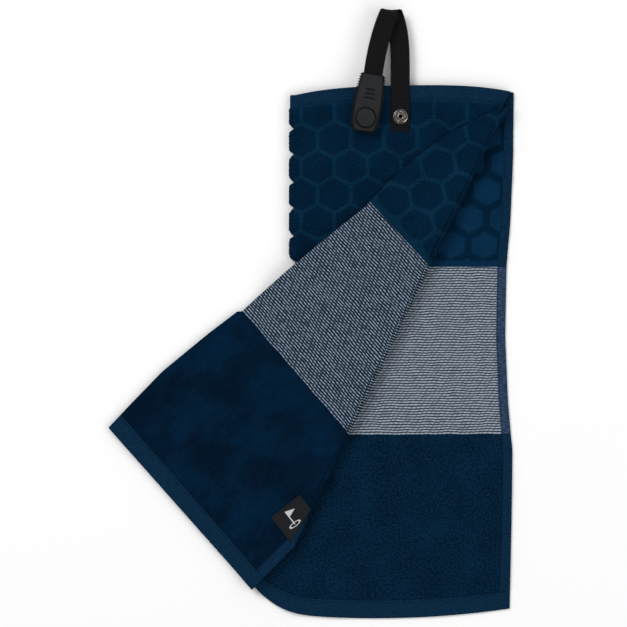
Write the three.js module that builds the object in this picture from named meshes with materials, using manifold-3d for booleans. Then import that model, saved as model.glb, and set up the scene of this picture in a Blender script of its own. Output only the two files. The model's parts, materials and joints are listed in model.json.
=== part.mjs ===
// Tri-fold golf towel with a snap strap, lying flat with one corner of its two front layers turned back.
// Millimetres. +X is right, +Y points from the towel towards its strap, +Z is up, and the towel lies on z = 0.
// Everything is laid out from the towel's top right corner, and the finished group is moved onto its own box.
import * as THREE from "three";
import { mergeVertices } from "three/addons/utils/BufferGeometryUtils.js";
import Module from "manifold-3d";

const vec = (x, y) => new THREE.Vector2(x, y);

// Cloth: a 533 x 406 mm sheet folded in three.
const CLOTH = 2.2;
const HEM_CLOTH = 1.8;
const GAP = 0.3;
const LAYER = CLOTH + GAP;
const PANEL_WIDTH = 174.4;
const PANEL_HEIGHT = 406;
const TOP_HEM = 10;
const SIDE_HEM = 7.5;
const BOTTOM_HEM = 14;
const SIDE_HEM_END = -388;
const SIDE_HEM_START = -TOP_HEM - 0.5;
const REAR_HEM_ENDS = [-3, -202];
const THREAD = 0.3;
const STITCH_WIDTH = 0.6;
const LABEL_CLOTH = 0.5;
const TOP_CROWN = 6.8;
const WAIST = 5.3;

// The two front layers turn back along a diagonal crease that starts at the top right corner.
const CREASE_ANGLE = THREE.MathUtils.degToRad(25.8);
const CREASE_MARGIN = 0.8;
const CREASE_SLOPE = Math.tan(CREASE_ANGLE);
const FREE_EDGE = -171.3;
const FLAP_START = 14;
const FOLD_BULGE = 8;
const FOLD_BULGE_LENGTH = 150;
const FOLD_ROLL = 2.35;
const FLAP_ROWS = 36;
const SIDE_SHIFT = vec(-0.8, 0.2);
const LABEL_CORNER = vec(-167.3, -313.6);
const LABEL_LENGTH = 29;
const LABEL_WIDTHS = [14, 25.5];

// The left fold joins the front and rear layers round the middle one.
const FOLD_CENTRE = -170.8;
const FOLD_OUTER = 3.6;
const FOLD_INNER = FOLD_OUTER - CLOTH;
const FOLD_LENGTH = 347;
const FRONT_END = -345;
const MIDDLE_END = -328;
const MIDDLE_HEM_ENDS = [-332.5, -347];
const FLAP_SIDE_HEM_START = 345;

// Past the left fold the flap comes down onto the surface: [x, height] pairs.
const DROOP = [[-176, 0], [-182, -1.2], [-194, -6.3], [-200, -7.5]];

// Strap: 15 mm webbing sewn to the top hem, looped over, with a moulded pull tab on its free end.
const WEB_WIDTH = 15;
const WEB = 1.2;
const ANCHOR_X = -89;
const ANCHOR_END = -29.7;
const ANCHOR_STRAIGHT = 47.7;
const ANCHOR_ARC = 44;
const ANCHOR_TURN = THREE.MathUtils.degToRad(14);
const BEND_START = 0.62;
const LOOP_INSIDE = 4.3;
const LEG_HEADING = THREE.MathUtils.degToRad(158);
const TAB_HEADING = THREE.MathUtils.degToRad(170.3);
const LEG_LENGTH = 46;
const LEG_TUCK = 20;
const TAB_OVERLAP = 3;

// Pull tab and its snap.
const TAB_LENGTH = 46;
const TAB_TOP_WIDTH = 17.6;
const TAB_WIDTH = 21.6;
const TAB_BODY = 3.5;
const TAB_PLATE = 1.1;
const PLATE_INSET = 1.3;
const CAP_TO_END = 11.2;
const CAP_RADIUS = 8.25;
const CAP_HEIGHT = 1.3;
const SNAP_SWING = THREE.MathUtils.degToRad(18.8);
const STUD_RADIUS = 5.75;
const POST_RADIUS = 2;
const POST_BORE = 1.5;
const SOCKET_RADIUS = 5.6;

// Heights, from the surface upwards.
const REAR_Z = 0;
const MIDDLE_Z = LAYER;
const FRONT_Z = 2 * LAYER;
const LINING_Z = 3 * LAYER;
const FACE_Z = 4 * LAYER;
const ANCHOR_Z = FRONT_Z + CLOTH + 0.1;
const LEG_Z = ANCHOR_Z + WEB + LOOP_INSIDE;
const LOOP_RADIUS = (LOOP_INSIDE + WEB) / 2;
const LOOP_Z = ANCHOR_Z + WEB / 2 + LOOP_RADIUS;
const STUD_Z = ANCHOR_Z + WEB + 0.1;
const STUD_TOP = STUD_Z + 2.7;
const TAB_Z = STUD_TOP + 0.2;
const PLATE_Z = TAB_Z + TAB_BODY + 0.1;
const CAP_Z = PLATE_Z + TAB_PLATE + 0.1;

const manifold = await Module();
manifold.setup();

const towel = new THREE.Group();

const NAVY = 0x071e33;
const HEM_BLUE = 0x12293f;
const THREAD_BLUE = 0x1b3550;
const BLACK = 0x17171a;
const TAB_GREY = 0x2a2b2d;
const STEEL = 0x8a8683;

function addMesh(name, geometry, color, roughness = 0.9, metalness = 0, parent = towel) {
  const mesh = new THREE.Mesh(geometry, new THREE.MeshStandardMaterial({ color, roughness, metalness }));
  mesh.name = name;
  parent.add(mesh);
  return mesh;
}

const span = (count, make) => Array.from({ length: count + 1 }, (_, i) => make(i / count));
const mix = THREE.MathUtils.lerp;
const counterClockwise = (outline) => (THREE.ShapeUtils.isClockWise(outline) ? outline.slice().reverse() : outline);

// ---------- Outlines of the folded towel ----------

// The top hem is bowed up a little between the two corners.
function topEdge(x) {
  const t = -x / PANEL_WIDTH;
  return mix(0.8, -2.3, t) + TOP_CROWN * (1 - Math.abs(2 * t - 1) ** 3);
}

// The striped band is woven tighter, so the side draws in beside it.
function rightEdge(y) {
  return -1 - WAIST * Math.exp(-(((y + 180) / 60) ** 2));
}

// The rear layer's bottom hem sags in the middle and turns up at the pulled left corner.
function bottomEdge(x) {
  return -411.4 + 6.9e-4 * (x + 108) ** 2 + 1.05e-4 * Math.max(0, -147 - x) ** 3;
}

function bottomInset(x, inset) {
  const slope = bottomEdge(x + 0.5) - bottomEdge(x - 0.5);
  const scale = inset / Math.hypot(1, slope);
  return vec(x - slope * scale, bottomEdge(x) + scale);
}

const creaseX = (y) => y * CREASE_SLOPE;

function flatSheet(outline, bottom, thickness, holes = []) {
  const shape = new THREE.Shape(counterClockwise(outline));
  for (const { centre, radius } of holes) {
    shape.holes.push(new THREE.Path().absarc(centre.x, centre.y, radius, 0, 2 * Math.PI, true));
  }
  const geometry = new THREE.ExtrudeGeometry(shape, { depth: thickness, bevelEnabled: false, curveSegments: 10 });
  return geometry.translate(0, 0, bottom);
}

// ---------- The flap: reflected in the crease, coming down past the left fold ----------

const creaseDirection = vec(-Math.sin(CREASE_ANGLE), -Math.cos(CREASE_ANGLE));
const foldDirection = vec(-Math.sin(2 * CREASE_ANGLE), -Math.cos(2 * CREASE_ANGLE));
const foldOutward = vec(foldDirection.y, -foldDirection.x);

function reflect(x, y) {
  const along = 2 * (x * creaseDirection.x + y * creaseDirection.y);
  return vec(along * creaseDirection.x - x, along * creaseDirection.y - y);
}

// Down the crease, then down the free side of the layer, at the distance v from the top edge.
function creaseSide(v, limit) {
  const past = Math.max(0, v + limit / CREASE_SLOPE) / (PANEL_HEIGHT + limit / CREASE_SLOPE);
  const point = reflect(Math.max(-v * CREASE_SLOPE, limit), -v);
  return point.add(vec(6.9, -2.3).multiplyScalar(past));
}

// The long fold between the two layers bulges beside the thick pile, and its far corner is pulled down.
function foldSide(v) {
  const bulge = FOLD_BULGE * Math.sin(Math.PI * Math.min(1, v / FOLD_BULGE_LENGTH));
  const pull = THREE.MathUtils.smoothstep(v, 300, PANEL_HEIGHT);
  const point = foldDirection.clone().multiplyScalar(v).addScaledVector(foldOutward, bulge);
  return point.add(vec(0.7, -9.7).multiplyScalar(pull));
}

function onRow(v, limit, nearInset, farInset) {
  const near = creaseSide(v, limit);
  const far = foldSide(v);
  const row = far.clone().sub(near).normalize();
  return [near.addScaledVector(row, nearInset), far.addScaledVector(row, -farInset)];
}

function flapOutline(from, to, limit, farInset) {
  const rows = span(FLAP_ROWS, (t) => onRow(mix(from, to, t), limit, CREASE_MARGIN, farInset));
  return [...rows.map((row) => row[0]), ...rows.map((row) => row[1]).reverse()];
}

function droop(x) {
  if (x >= DROOP[0][0]) return 0;
  for (let i = 1; i < DROOP.length; i++) {
    const [high, top] = DROOP[i - 1];
    const [low, bottom] = DROOP[i];
    if (x >= low) return mix(top, bottom, (high - x) / (high - low));
  }
  return DROOP.at(-1)[1];
}

// A sheet that follows the droop, with its surface broken exactly along the droop's lines.
function drapedSheet(outline, bottom, thickness) {
  const cuts = DROOP.map(([x]) => x);
  const loop = [];
  const corners = counterClockwise(outline);
  corners.forEach((a, i) => {
    const b = corners[(i + 1) % corners.length];
    loop.push(a);
    const crossed = cuts.filter((x) => (a.x - x) * (b.x - x) < 0);
    crossed.sort((p, q) => (b.x > a.x ? p - q : q - p));
    for (const x of crossed) loop.push(vec(x, mix(a.y, b.y, (x - a.x) / (b.x - a.x))));
  });
  const position = [];
  const corner = (p, top) => position.push(p.x, p.y, bottom + droop(p.x) + (top ? thickness : 0));
  const strips = [Infinity, ...cuts, -Infinity];
  for (let i = 1; i < strips.length; i++) {
    const strip = loop.filter((p) => p.x <= strips[i - 1] && p.x >= strips[i]);
    for (const [a, b, c] of strip.length > 2 ? THREE.ShapeUtils.triangulateShape(strip, []) : []) {
      for (const k of [a, b, c]) corner(strip[k], true);
      for (const k of [c, b, a]) corner(strip[k], false);
    }
  }
  loop.forEach((a, i) => {
    const b = loop[(i + 1) % loop.length];
    for (const [p, top] of [[a, false], [b, false], [b, true], [a, false], [b, true], [a, true]]) corner(p, top);
  });
  const geometry = new THREE.BufferGeometry();
  geometry.setAttribute("position", new THREE.Float32BufferAttribute(position, 3));
  return geometry;
}

// ---------- Strap paths ----------

const heading = (angle) => vec(-Math.sin(angle), Math.cos(angle));

function arcPath(start, from, to, length, steps) {
  const points = [{ point: start.clone(), angle: from }];
  for (let i = 1; i <= steps; i++) {
    const middle = mix(from, to, (i - 0.5) / steps);
    const point = points[i - 1].point.clone().addScaledVector(heading(middle), length / steps);
    points.push({ point, angle: mix(from, to, i / steps) });
  }
  return points;
}

function webStation({ point, angle }, z) {
  const side = heading(angle - Math.PI / 2);
  return {
    centre: new THREE.Vector3(point.x, point.y, z),
    side: new THREE.Vector3(side.x, side.y, 0),
    up: new THREE.Vector3(0, 0, 1),
  };
}

// A flat strip of webbing through its stations.
function ribbon(stations, width, thickness) {
  const position = [];
  for (const { centre, side, up } of stations) {
    for (const [s, t] of [[-1, -1], [1, -1], [1, 1], [-1, 1]]) {
      const p = centre.clone().addScaledVector(side, (s * width) / 2).addScaledVector(up, (t * thickness) / 2);
      position.push(p.x, p.y, p.z);
    }
  }
  const index = [0, 1, 2, 0, 2, 3];
  for (let i = 0; i < stations.length - 1; i++) {
    for (let k = 0; k < 4; k++) {
      const [a, b] = [4 * i + k, 4 * i + ((k + 1) % 4)];
      index.push(a, a + 4, b + 4, a, b + 4, b);
    }
  }
  const last = 4 * (stations.length - 1);
  index.push(last, last + 2, last + 1, last, last + 3, last + 2);
  const geometry = new THREE.BufferGeometry();
  geometry.setAttribute("position", new THREE.Float32BufferAttribute(position, 3));
  geometry.setIndex(index);
  return geometry;
}

const anchorCurve = arcPath(vec(ANCHOR_X, ANCHOR_END + ANCHOR_STRAIGHT), 0, ANCHOR_TURN, ANCHOR_ARC, 8);
const loopStart = anchorCurve.at(-1).point;

// The webbing winds half a turn round a level axis; its two legs lean to either side of that axis's normal.
const loopAxis = heading(ANCHOR_TURN).add(heading(LEG_HEADING)).normalize();
const loopNormal = vec(-loopAxis.y, loopAxis.x).multiplyScalar(-1);
const loopLean = Math.asin(heading(ANCHOR_TURN).dot(loopAxis));
const loopShift = LOOP_RADIUS * Math.tan(loopLean);

function loopStation(angle) {
  const out = LOOP_RADIUS * Math.cos(angle);
  const p = loopStart.clone().addScaledVector(loopAxis, loopShift * (angle + Math.PI / 2));
  p.addScaledVector(loopNormal, out);
  const up = new THREE.Vector3(loopNormal.x * Math.cos(angle), loopNormal.y * Math.cos(angle), Math.sin(angle));
  const round = new THREE.Vector3(-loopNormal.x * Math.sin(angle), -loopNormal.y * Math.sin(angle), Math.cos(angle));
  const axis = new THREE.Vector3(loopAxis.x, loopAxis.y, 0);
  const along = round.multiplyScalar(Math.cos(loopLean)).addScaledVector(axis, Math.sin(loopLean));
  const centre = new THREE.Vector3(p.x, p.y, LOOP_Z + LOOP_RADIUS * Math.sin(angle));
  return { centre, side: along.clone().cross(up).negate(), up: up.negate() };
}

const legStart = loopStart.clone().addScaledVector(loopAxis, loopShift * Math.PI);
const legCurve = arcPath(legStart, LEG_HEADING, TAB_HEADING, LEG_LENGTH, 8);
const legEnd = legCurve.at(-1).point;
const tabDirection = heading(TAB_HEADING);
const capCentre = legEnd.clone().addScaledVector(tabDirection, TAB_OVERLAP + TAB_LENGTH - CAP_TO_END);

// The strap swings about an upright axis beside its loop until the cap is over the stud.
const swingPivot = vec(-106.1, 63.3);
const studCentre = capCentre.clone().rotateAround(swingPivot, SNAP_SWING);

// ---------- Towel body ----------

const LEFT = FOLD_CENTRE + GAP;
const sidePoint = (y, inset) => vec(rightEdge(y) - inset, y);
const topInside = (x) => topEdge(x) - TOP_HEM - GAP;
const postHole = { centre: studCentre, radius: POST_RADIUS + 0.4 };

function addRearLayer() {
  const top = span(10, (t) => vec(mix(LEFT, -9, t), topInside(mix(LEFT, -9, t))));
  const right = span(12, (t) => {
    const y = mix(-12, SIDE_HEM_END, t);
    return sidePoint(y, SIDE_HEM + GAP);
  });
  const bottom = span(14, (t) => bottomInset(mix(-10, -201.5, t), BOTTOM_HEM + GAP));
  const panel = [...top, ...right, ...bottom, vec(-174, -360), vec(LEFT, -353)];
  addMesh("rear_panel", flatSheet(panel, REAR_Z, CLOTH, [{ centre: studCentre, radius: 6.2 }]), NAVY);

  const topHem = [
    ...span(10, (t) => vec(mix(LEFT, -0.5, t), topEdge(mix(LEFT, -0.5, t)))),
    ...span(10, (t) => vec(mix(-0.5, LEFT, t), topEdge(mix(-0.5, LEFT, t)) - TOP_HEM)),
  ];
  addMesh("rear_top_hem", flatSheet(topHem, REAR_Z, HEM_CLOTH), HEM_BLUE);

  const sideHem = [
    ...span(12, (t) => sidePoint(mix(SIDE_HEM_START, SIDE_HEM_END, t), 0)),
    ...span(12, (t) => sidePoint(mix(SIDE_HEM_END, SIDE_HEM_START, t), SIDE_HEM)),
  ];
  addMesh("rear_side_hem", flatSheet(sideHem, REAR_Z, HEM_CLOTH), HEM_BLUE);

  const bottomHem = [
    ...span(14, (t) => bottomInset(mix(...REAR_HEM_ENDS, t), 0)),
    ...span(14, (t) => bottomInset(mix(...REAR_HEM_ENDS, 1 - t), BOTTOM_HEM)),
  ];
  addMesh("rear_bottom_hem", flatSheet(bottomHem, REAR_Z, HEM_CLOTH), HEM_BLUE);
}

// The middle and front layers stop at the diagonal crease.
function addFoldedLayer(prefix, bottom, left, low) {
  const end = -10 * CREASE_SLOPE - CREASE_MARGIN;
  const top = span(10, (t) => vec(mix(left, end, t), topInside(mix(left, end, t))));
  const panel = [...top, vec(creaseX(low) - CREASE_MARGIN, low), vec(left, low)];
  addMesh(`${prefix}_panel`, flatSheet(panel, bottom, CLOTH, [postHole]), NAVY);
}

function addFoldedTopHem(prefix, bottom, left) {
  const hem = [
    ...span(10, (t) => vec(mix(left, -1.2, t), topEdge(mix(left, -1.2, t)))),
    ...span(10, (t) => vec(mix(-6, left, t), topEdge(mix(-6, left, t)) - TOP_HEM)),
  ];
  addMesh(`${prefix}_top_hem`, flatSheet(hem, bottom, HEM_CLOTH), HEM_BLUE);
}

function addTowelBody() {
  addRearLayer();
  const hemLeft = FOLD_CENTRE + 1.3;
  const hemRight = hemLeft + SIDE_HEM;
  addFoldedLayer("inner", MIDDLE_Z, hemRight + GAP, MIDDLE_END);
  addFoldedTopHem("inner", MIDDLE_Z, hemLeft);
  const innerSide = [
    vec(hemLeft, topInside(hemLeft)),
    vec(hemRight, topInside(hemLeft)),
    vec(hemRight, MIDDLE_HEM_ENDS[0]),
    vec(hemLeft, MIDDLE_HEM_ENDS[1]),
  ];
  addMesh("inner_side_hem", flatSheet(innerSide, MIDDLE_Z, HEM_CLOTH), HEM_BLUE);
  addFoldedLayer("front", FRONT_Z, LEFT, FRONT_END);
  addFoldedTopHem("front", FRONT_Z, LEFT);

  const fold = new THREE.Shape();
  fold.absarc(FOLD_CENTRE, FOLD_OUTER, FOLD_OUTER, Math.PI / 2, (3 * Math.PI) / 2, false);
  fold.absarc(FOLD_CENTRE, FOLD_OUTER, FOLD_INNER, (3 * Math.PI) / 2, Math.PI / 2, true);
  const foldGeometry = new THREE.ExtrudeGeometry(fold, { depth: FOLD_LENGTH, bevelEnabled: false, curveSegments: 8 });
  addMesh("left_fold", foldGeometry.rotateX(Math.PI / 2).translate(0, -2.6, 0), NAVY);
}

// ---------- Turned-back flap ----------

function addFlap() {
  const hemStart = PANEL_HEIGHT - BOTTOM_HEM;
  const inset = FOLD_ROLL + GAP;
  const faceLimit = FREE_EDGE + SIDE_HEM + GAP;
  const lining = flapOutline(FLAP_START, hemStart - GAP, FREE_EDGE, inset);
  addMesh("flap_lining", drapedSheet(lining, LINING_Z, CLOTH), NAVY);
  const face = flapOutline(FLAP_START, hemStart - GAP, faceLimit, inset);
  addMesh("flap_face", drapedSheet(face, FACE_Z, CLOTH), NAVY);
  const liningHem = flapOutline(hemStart, PANEL_HEIGHT, FREE_EDGE, inset);
  addMesh("flap_lining_hem", drapedSheet(liningHem, LINING_Z, HEM_CLOTH), HEM_BLUE);
  const faceHem = flapOutline(hemStart, PANEL_HEIGHT, faceLimit, inset);
  addMesh("flap_bottom_hem", drapedSheet(faceHem, FACE_Z, HEM_CLOTH), HEM_BLUE);

  const roll = [
    ...span(FLAP_ROWS, (t) => foldSide(mix(FLAP_START, PANEL_HEIGHT, t))),
    ...span(FLAP_ROWS, (t) => onRow(mix(PANEL_HEIGHT, FLAP_START, t), FREE_EDGE, 0, FOLD_ROLL)[1]),
  ];
  addMesh("flap_fold", drapedSheet(roll, LINING_Z, LAYER + CLOTH), NAVY);

  const sideHem = [
    ...span(6, (t) => creaseSide(mix(FLAP_SIDE_HEM_START, PANEL_HEIGHT, t), FREE_EDGE).add(SIDE_SHIFT)),
    ...span(6, (t) => creaseSide(mix(PANEL_HEIGHT, FLAP_SIDE_HEM_START, t), FREE_EDGE + SIDE_HEM)),
  ];
  addMesh("flap_side_hem", drapedSheet(sideHem, FACE_Z, HEM_CLOTH), HEM_BLUE);
}

// ---------- Woven label and the sewing threads ----------

// A line of sewing: a thin sheet along a path, widened by one vector.
function stitchLine(name, path, width, bottom, color = THREAD_BLUE) {
  const outline = [...path, ...path.map((p) => p.clone().add(width)).reverse()];
  addMesh(name, drapedSheet(outline, bottom, THREAD), color);
}

function addLabelAndThreads() {
  const across = foldOutward.clone().negate();
  const labelPoint = (v, u) => LABEL_CORNER.clone().addScaledVector(foldDirection, v).addScaledVector(across, u);
  const [narrow, wide] = LABEL_WIDTHS;
  const label = [labelPoint(0, 0), labelPoint(LABEL_LENGTH, 0), labelPoint(LABEL_LENGTH, wide), labelPoint(0, narrow)];
  const labelBottom = FACE_Z + CLOTH + GAP;
  addMesh("woven_label", drapedSheet(label, labelBottom, LABEL_CLOTH), BLACK);
  const labelSeam = [labelPoint(1.5, 1.5), labelPoint(LABEL_LENGTH - 1.5, 1.5)];
  const seamWidth = across.clone().multiplyScalar(0.5);
  stitchLine("label_thread", labelSeam, seamWidth, labelBottom + LABEL_CLOTH + 0.1, BLACK);

  const upward = vec(0, STITCH_WIDTH);
  const topSeam = span(16, (t) => vec(mix(-169, -18, t), topEdge(mix(-169, -18, t)) - TOP_HEM + 1.2));
  stitchLine("top_seam_thread", topSeam, upward, FRONT_Z + HEM_CLOTH + 0.1);
  const rearStitchZ = REAR_Z + HEM_CLOTH + 0.1;
  const rearBottom = span(16, (t) => bottomInset(mix(-12, -196, t), BOTTOM_HEM - 1.8));
  const rearBottomOutline = [...rearBottom, ...rearBottom.map((p) => p.clone().add(upward)).reverse()];
  addMesh("rear_bottom_hem_thread", flatSheet(rearBottomOutline, rearStitchZ, THREAD), THREAD_BLUE);
  const rearSide = span(16, (t) => sidePoint(mix(-14, -384, t), SIDE_HEM - STITCH_WIDTH));
  stitchLine("rear_side_hem_thread", rearSide, vec(STITCH_WIDTH, 0), rearStitchZ);
  const hemRow = PANEL_HEIGHT - BOTTOM_HEM + 1.2;
  const [near, far] = onRow(hemRow, FREE_EDGE + SIDE_HEM + GAP, 3, 4);
  const flapSeam = span(8, (t) => near.clone().lerp(far, t));
  const flapStitch = foldDirection.clone().multiplyScalar(STITCH_WIDTH);
  stitchLine("flap_hem_thread", flapSeam, flapStitch, FACE_Z + HEM_CLOTH + 0.1);
  const tack = new THREE.BoxGeometry(WEB_WIDTH - 2, 0.8, THREAD);
  addMesh("strap_tack_thread", tack.translate(ANCHOR_X, -4, ANCHOR_Z + WEB + 0.1 + THREAD / 2), BLACK);
}

// ---------- Strap ----------

function addStrap() {
  const anchorCut = Math.round(BEND_START * (anchorCurve.length - 1));
  const anchorPath = [{ point: vec(ANCHOR_X, ANCHOR_END), angle: 0 }, ...anchorCurve.slice(0, anchorCut + 1)];
  const edge = (sign) => anchorPath.map(({ point, angle }) =>
    point.clone().addScaledVector(heading(angle - Math.PI / 2), (sign * WEB_WIDTH) / 2));
  const anchor = [...edge(1), ...edge(-1).reverse()];
  addMesh("strap_anchor_leg", flatSheet(anchor, ANCHOR_Z, WEB, [postHole]), BLACK);

  const middle = ANCHOR_Z + WEB / 2;
  const lower = anchorCurve.slice(anchorCut).map((station) => webStation(station, middle));
  lower[0].centre.y += GAP;
  const loop = span(10, (t) => loopStation(mix(-Math.PI / 2, Math.PI / 2, t)));
  addMesh("strap_loop", ribbon([...lower.slice(0, -1), ...loop], WEB_WIDTH, WEB), BLACK);

  const leg = legCurve.map((station) => webStation(station, LEG_Z + WEB / 2));
  leg[0].centre.x += GAP * heading(LEG_HEADING).x;
  leg[0].centre.y += GAP * heading(LEG_HEADING).y;
  const tuck = legEnd.clone().addScaledVector(tabDirection, LEG_TUCK);
  leg.push(webStation({ point: tuck, angle: TAB_HEADING }, LEG_Z + WEB / 2));
  addMesh("strap_free_leg", ribbon(leg, WEB_WIDTH, WEB), BLACK);
}

// ---------- Pull tab, in its own frame: origin under the cap, +Y towards the webbing ----------

function tabShape(inset) {
  const top = TAB_LENGTH - CAP_TO_END - inset;
  const bottom = inset - CAP_TO_END;
  const half = TAB_WIDTH / 2 - inset;
  const shape = new THREE.Shape();
  shape.moveTo(-TAB_TOP_WIDTH / 2 + inset, top);
  shape.bezierCurveTo(-half + 1.2, top - 8, -half, top - 14, -half, 6);
  shape.bezierCurveTo(-half, -2, -half + 1, bottom + 5, -half + 1.4, bottom + 3);
  shape.quadraticCurveTo(-half + 2, bottom, -half + 5, bottom);
  shape.lineTo(half - 5, bottom);
  shape.quadraticCurveTo(half - 2, bottom, half - 1.4, bottom + 3);
  shape.bezierCurveTo(half - 1, bottom + 5, half, -2, half, 6);
  shape.bezierCurveTo(half, top - 14, half - 1.2, top - 8, TAB_TOP_WIDTH / 2 - inset, top);
  return shape;
}

function toManifold(geometry) {
  geometry.deleteAttribute("normal");
  geometry.deleteAttribute("uv");
  const merged = mergeVertices(geometry, 1e-4);
  const mesh = new manifold.Mesh({
    numProp: 3,
    vertProperties: new Float32Array(merged.attributes.position.array),
    triVerts: new Uint32Array(merged.index.array),
  });
  return new manifold.Manifold(mesh);
}

function fromManifold(solid) {
  const mesh = solid.getMesh();
  const geometry = new THREE.BufferGeometry();
  geometry.setAttribute("position", new THREE.BufferAttribute(mesh.vertProperties, 3));
  geometry.setIndex(new THREE.BufferAttribute(mesh.triVerts, 1));
  return geometry;
}

function drum(radius, bottom, top) {
  const geometry = new THREE.CylinderGeometry(radius, radius, top - bottom, 24);
  return geometry.rotateX(Math.PI / 2).translate(0, 0, (top + bottom) / 2);
}

// A turned part from [radius, height] points, about the +Z axis.
function turned(points, segments = 24) {
  return new THREE.LatheGeometry(points.map(([r, z]) => vec(r, z)), segments).rotateX(Math.PI / 2);
}

function addTab() {
  const tab = new THREE.Group();
  tab.position.set(capCentre.x, capCentre.y, 0);
  tab.rotation.z = TAB_HEADING - Math.PI;
  towel.add(tab);

  const recessTop = TAB_Z + 2.8;
  const blank = new THREE.ExtrudeGeometry(tabShape(0), { depth: TAB_BODY, bevelEnabled: false, curveSegments: 6 });
  const slotDepth = LEG_TUCK - TAB_OVERLAP + 1;
  const slot = new THREE.BoxGeometry(WEB_WIDTH + 0.6, 2 * slotDepth, WEB + 0.5);
  slot.translate(0, TAB_LENGTH - CAP_TO_END, LEG_Z + WEB / 2);
  const body = toManifold(blank.translate(0, 0, TAB_Z))
    .subtract(toManifold(slot))
    .subtract(toManifold(drum(SOCKET_RADIUS + 0.3, TAB_Z - 1, recessTop)))
    .subtract(toManifold(drum(POST_RADIUS, TAB_Z, PLATE_Z)));
  addMesh("tab_body", fromManifold(body), BLACK, 0.7, 0, tab);

  const plate = tabShape(PLATE_INSET);
  plate.holes.push(new THREE.Path().absarc(0, 0, POST_RADIUS, 0, 2 * Math.PI, true));
  const plateGeometry = new THREE.ExtrudeGeometry(plate, { depth: TAB_PLATE, bevelEnabled: false, curveSegments: 6 });
  addMesh("tab_plate", plateGeometry.translate(0, 0, PLATE_Z), TAB_GREY, 0.55, 0, tab);

  const capTop = CAP_Z + CAP_HEIGHT;
  const cap = turned([[0, CAP_Z], [CAP_RADIUS, CAP_Z], [CAP_RADIUS, capTop - 0.4], [CAP_RADIUS - 0.5, capTop],
    [0, capTop]]);
  addMesh("snap_cap", cap, TAB_GREY, 0.55, 0, tab);

  const roof = recessTop - 0.5;
  const rivet = turned([[0, roof - 0.35], [2.6, roof - 0.35], [2.6, roof - 0.1], [POST_BORE, roof - 0.1],
    [POST_BORE, CAP_Z - 0.1], [0, CAP_Z - 0.1]]);
  addMesh("cap_rivet", rivet, STEEL, 0.35, 0.9, tab);

  const rim = TAB_Z + 0.05;
  const socket = turned([[3.1, rim], [SOCKET_RADIUS, rim], [SOCKET_RADIUS, roof + 0.4], [1.8, roof + 0.4],
    [1.8, roof], [3.1, roof], [3.1, rim + 1.6], [4.1, rim + 1.6], [4.1, rim + 0.6], [3.1, rim + 0.6], [3.1, rim]]);
  addMesh("snap_socket", socket, STEEL, 0.35, 0.9, tab);

  const springPath = new THREE.EllipseCurve(0, 0, 3.5, 3.5, 0.4, 2 * Math.PI - 0.4);
  const springPoints = springPath.getPoints(20).map((p) => new THREE.Vector3(p.x, p.y, rim + 1.1));
  const wire = new THREE.Shape().absarc(0, 0, 0.35, 0, 2 * Math.PI, false);
  const spring = new THREE.ExtrudeGeometry(wire, {
    steps: 20, curveSegments: 3, bevelEnabled: false, extrudePath: new THREE.CatmullRomCurve3(springPoints),
  });
  addMesh("socket_spring", spring, STEEL, 0.3, 0.9, tab);
}

// ---------- Snap stud and its eyelet through the webbing and the three layers ----------

function addStud() {
  const lip = STUD_TOP - 0.3;
  const stud = turned([[2.25, STUD_Z], [STUD_RADIUS, STUD_Z], [STUD_RADIUS, STUD_Z + 0.6], [3.2, STUD_Z + 0.6],
    [2.7, STUD_Z + 1], [2.8, lip - 0.4], [2.6, lip - 0.1], [2.25, lip - 0.1], [2.25, STUD_Z]]);
  addMesh("snap_stud", stud.translate(studCentre.x, studCentre.y, 0), STEEL, 0.3, 0.9);
  const eyelet = turned([[POST_BORE, 0.2], [5.5, 0.2], [5.5, 0.8], [POST_RADIUS, 0.8], [POST_RADIUS, lip],
    [2.6, lip], [2.6, STUD_TOP], [POST_BORE, STUD_TOP], [POST_BORE, 0.2]]);
  addMesh("snap_eyelet", eyelet.translate(studCentre.x, studCentre.y, 0), STEEL, 0.3, 0.9);
}

addTowelBody();
addFlap();
addLabelAndThreads();
addStrap();
addTab();
addStud();

// The object's origin is at the centre of its box, on the surface that it lies on.
const box = new THREE.Box3().setFromObject(towel, true);
const centre = box.getCenter(new THREE.Vector3());
const group = new THREE.Group();
towel.position.set(-centre.x, -centre.y, -box.min.z);
group.add(towel);

export default group;
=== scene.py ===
"""Looks of the tri-fold golf towel: cloth, hems, sewing, webbing strap, tab and snap, on the CAD frame.

Lengths are in millimetres in the towel's own layout (origin at its top right corner, +Y towards the strap)
and are turned into metres in the frame by to_frame().
"""
import json
import math

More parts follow.
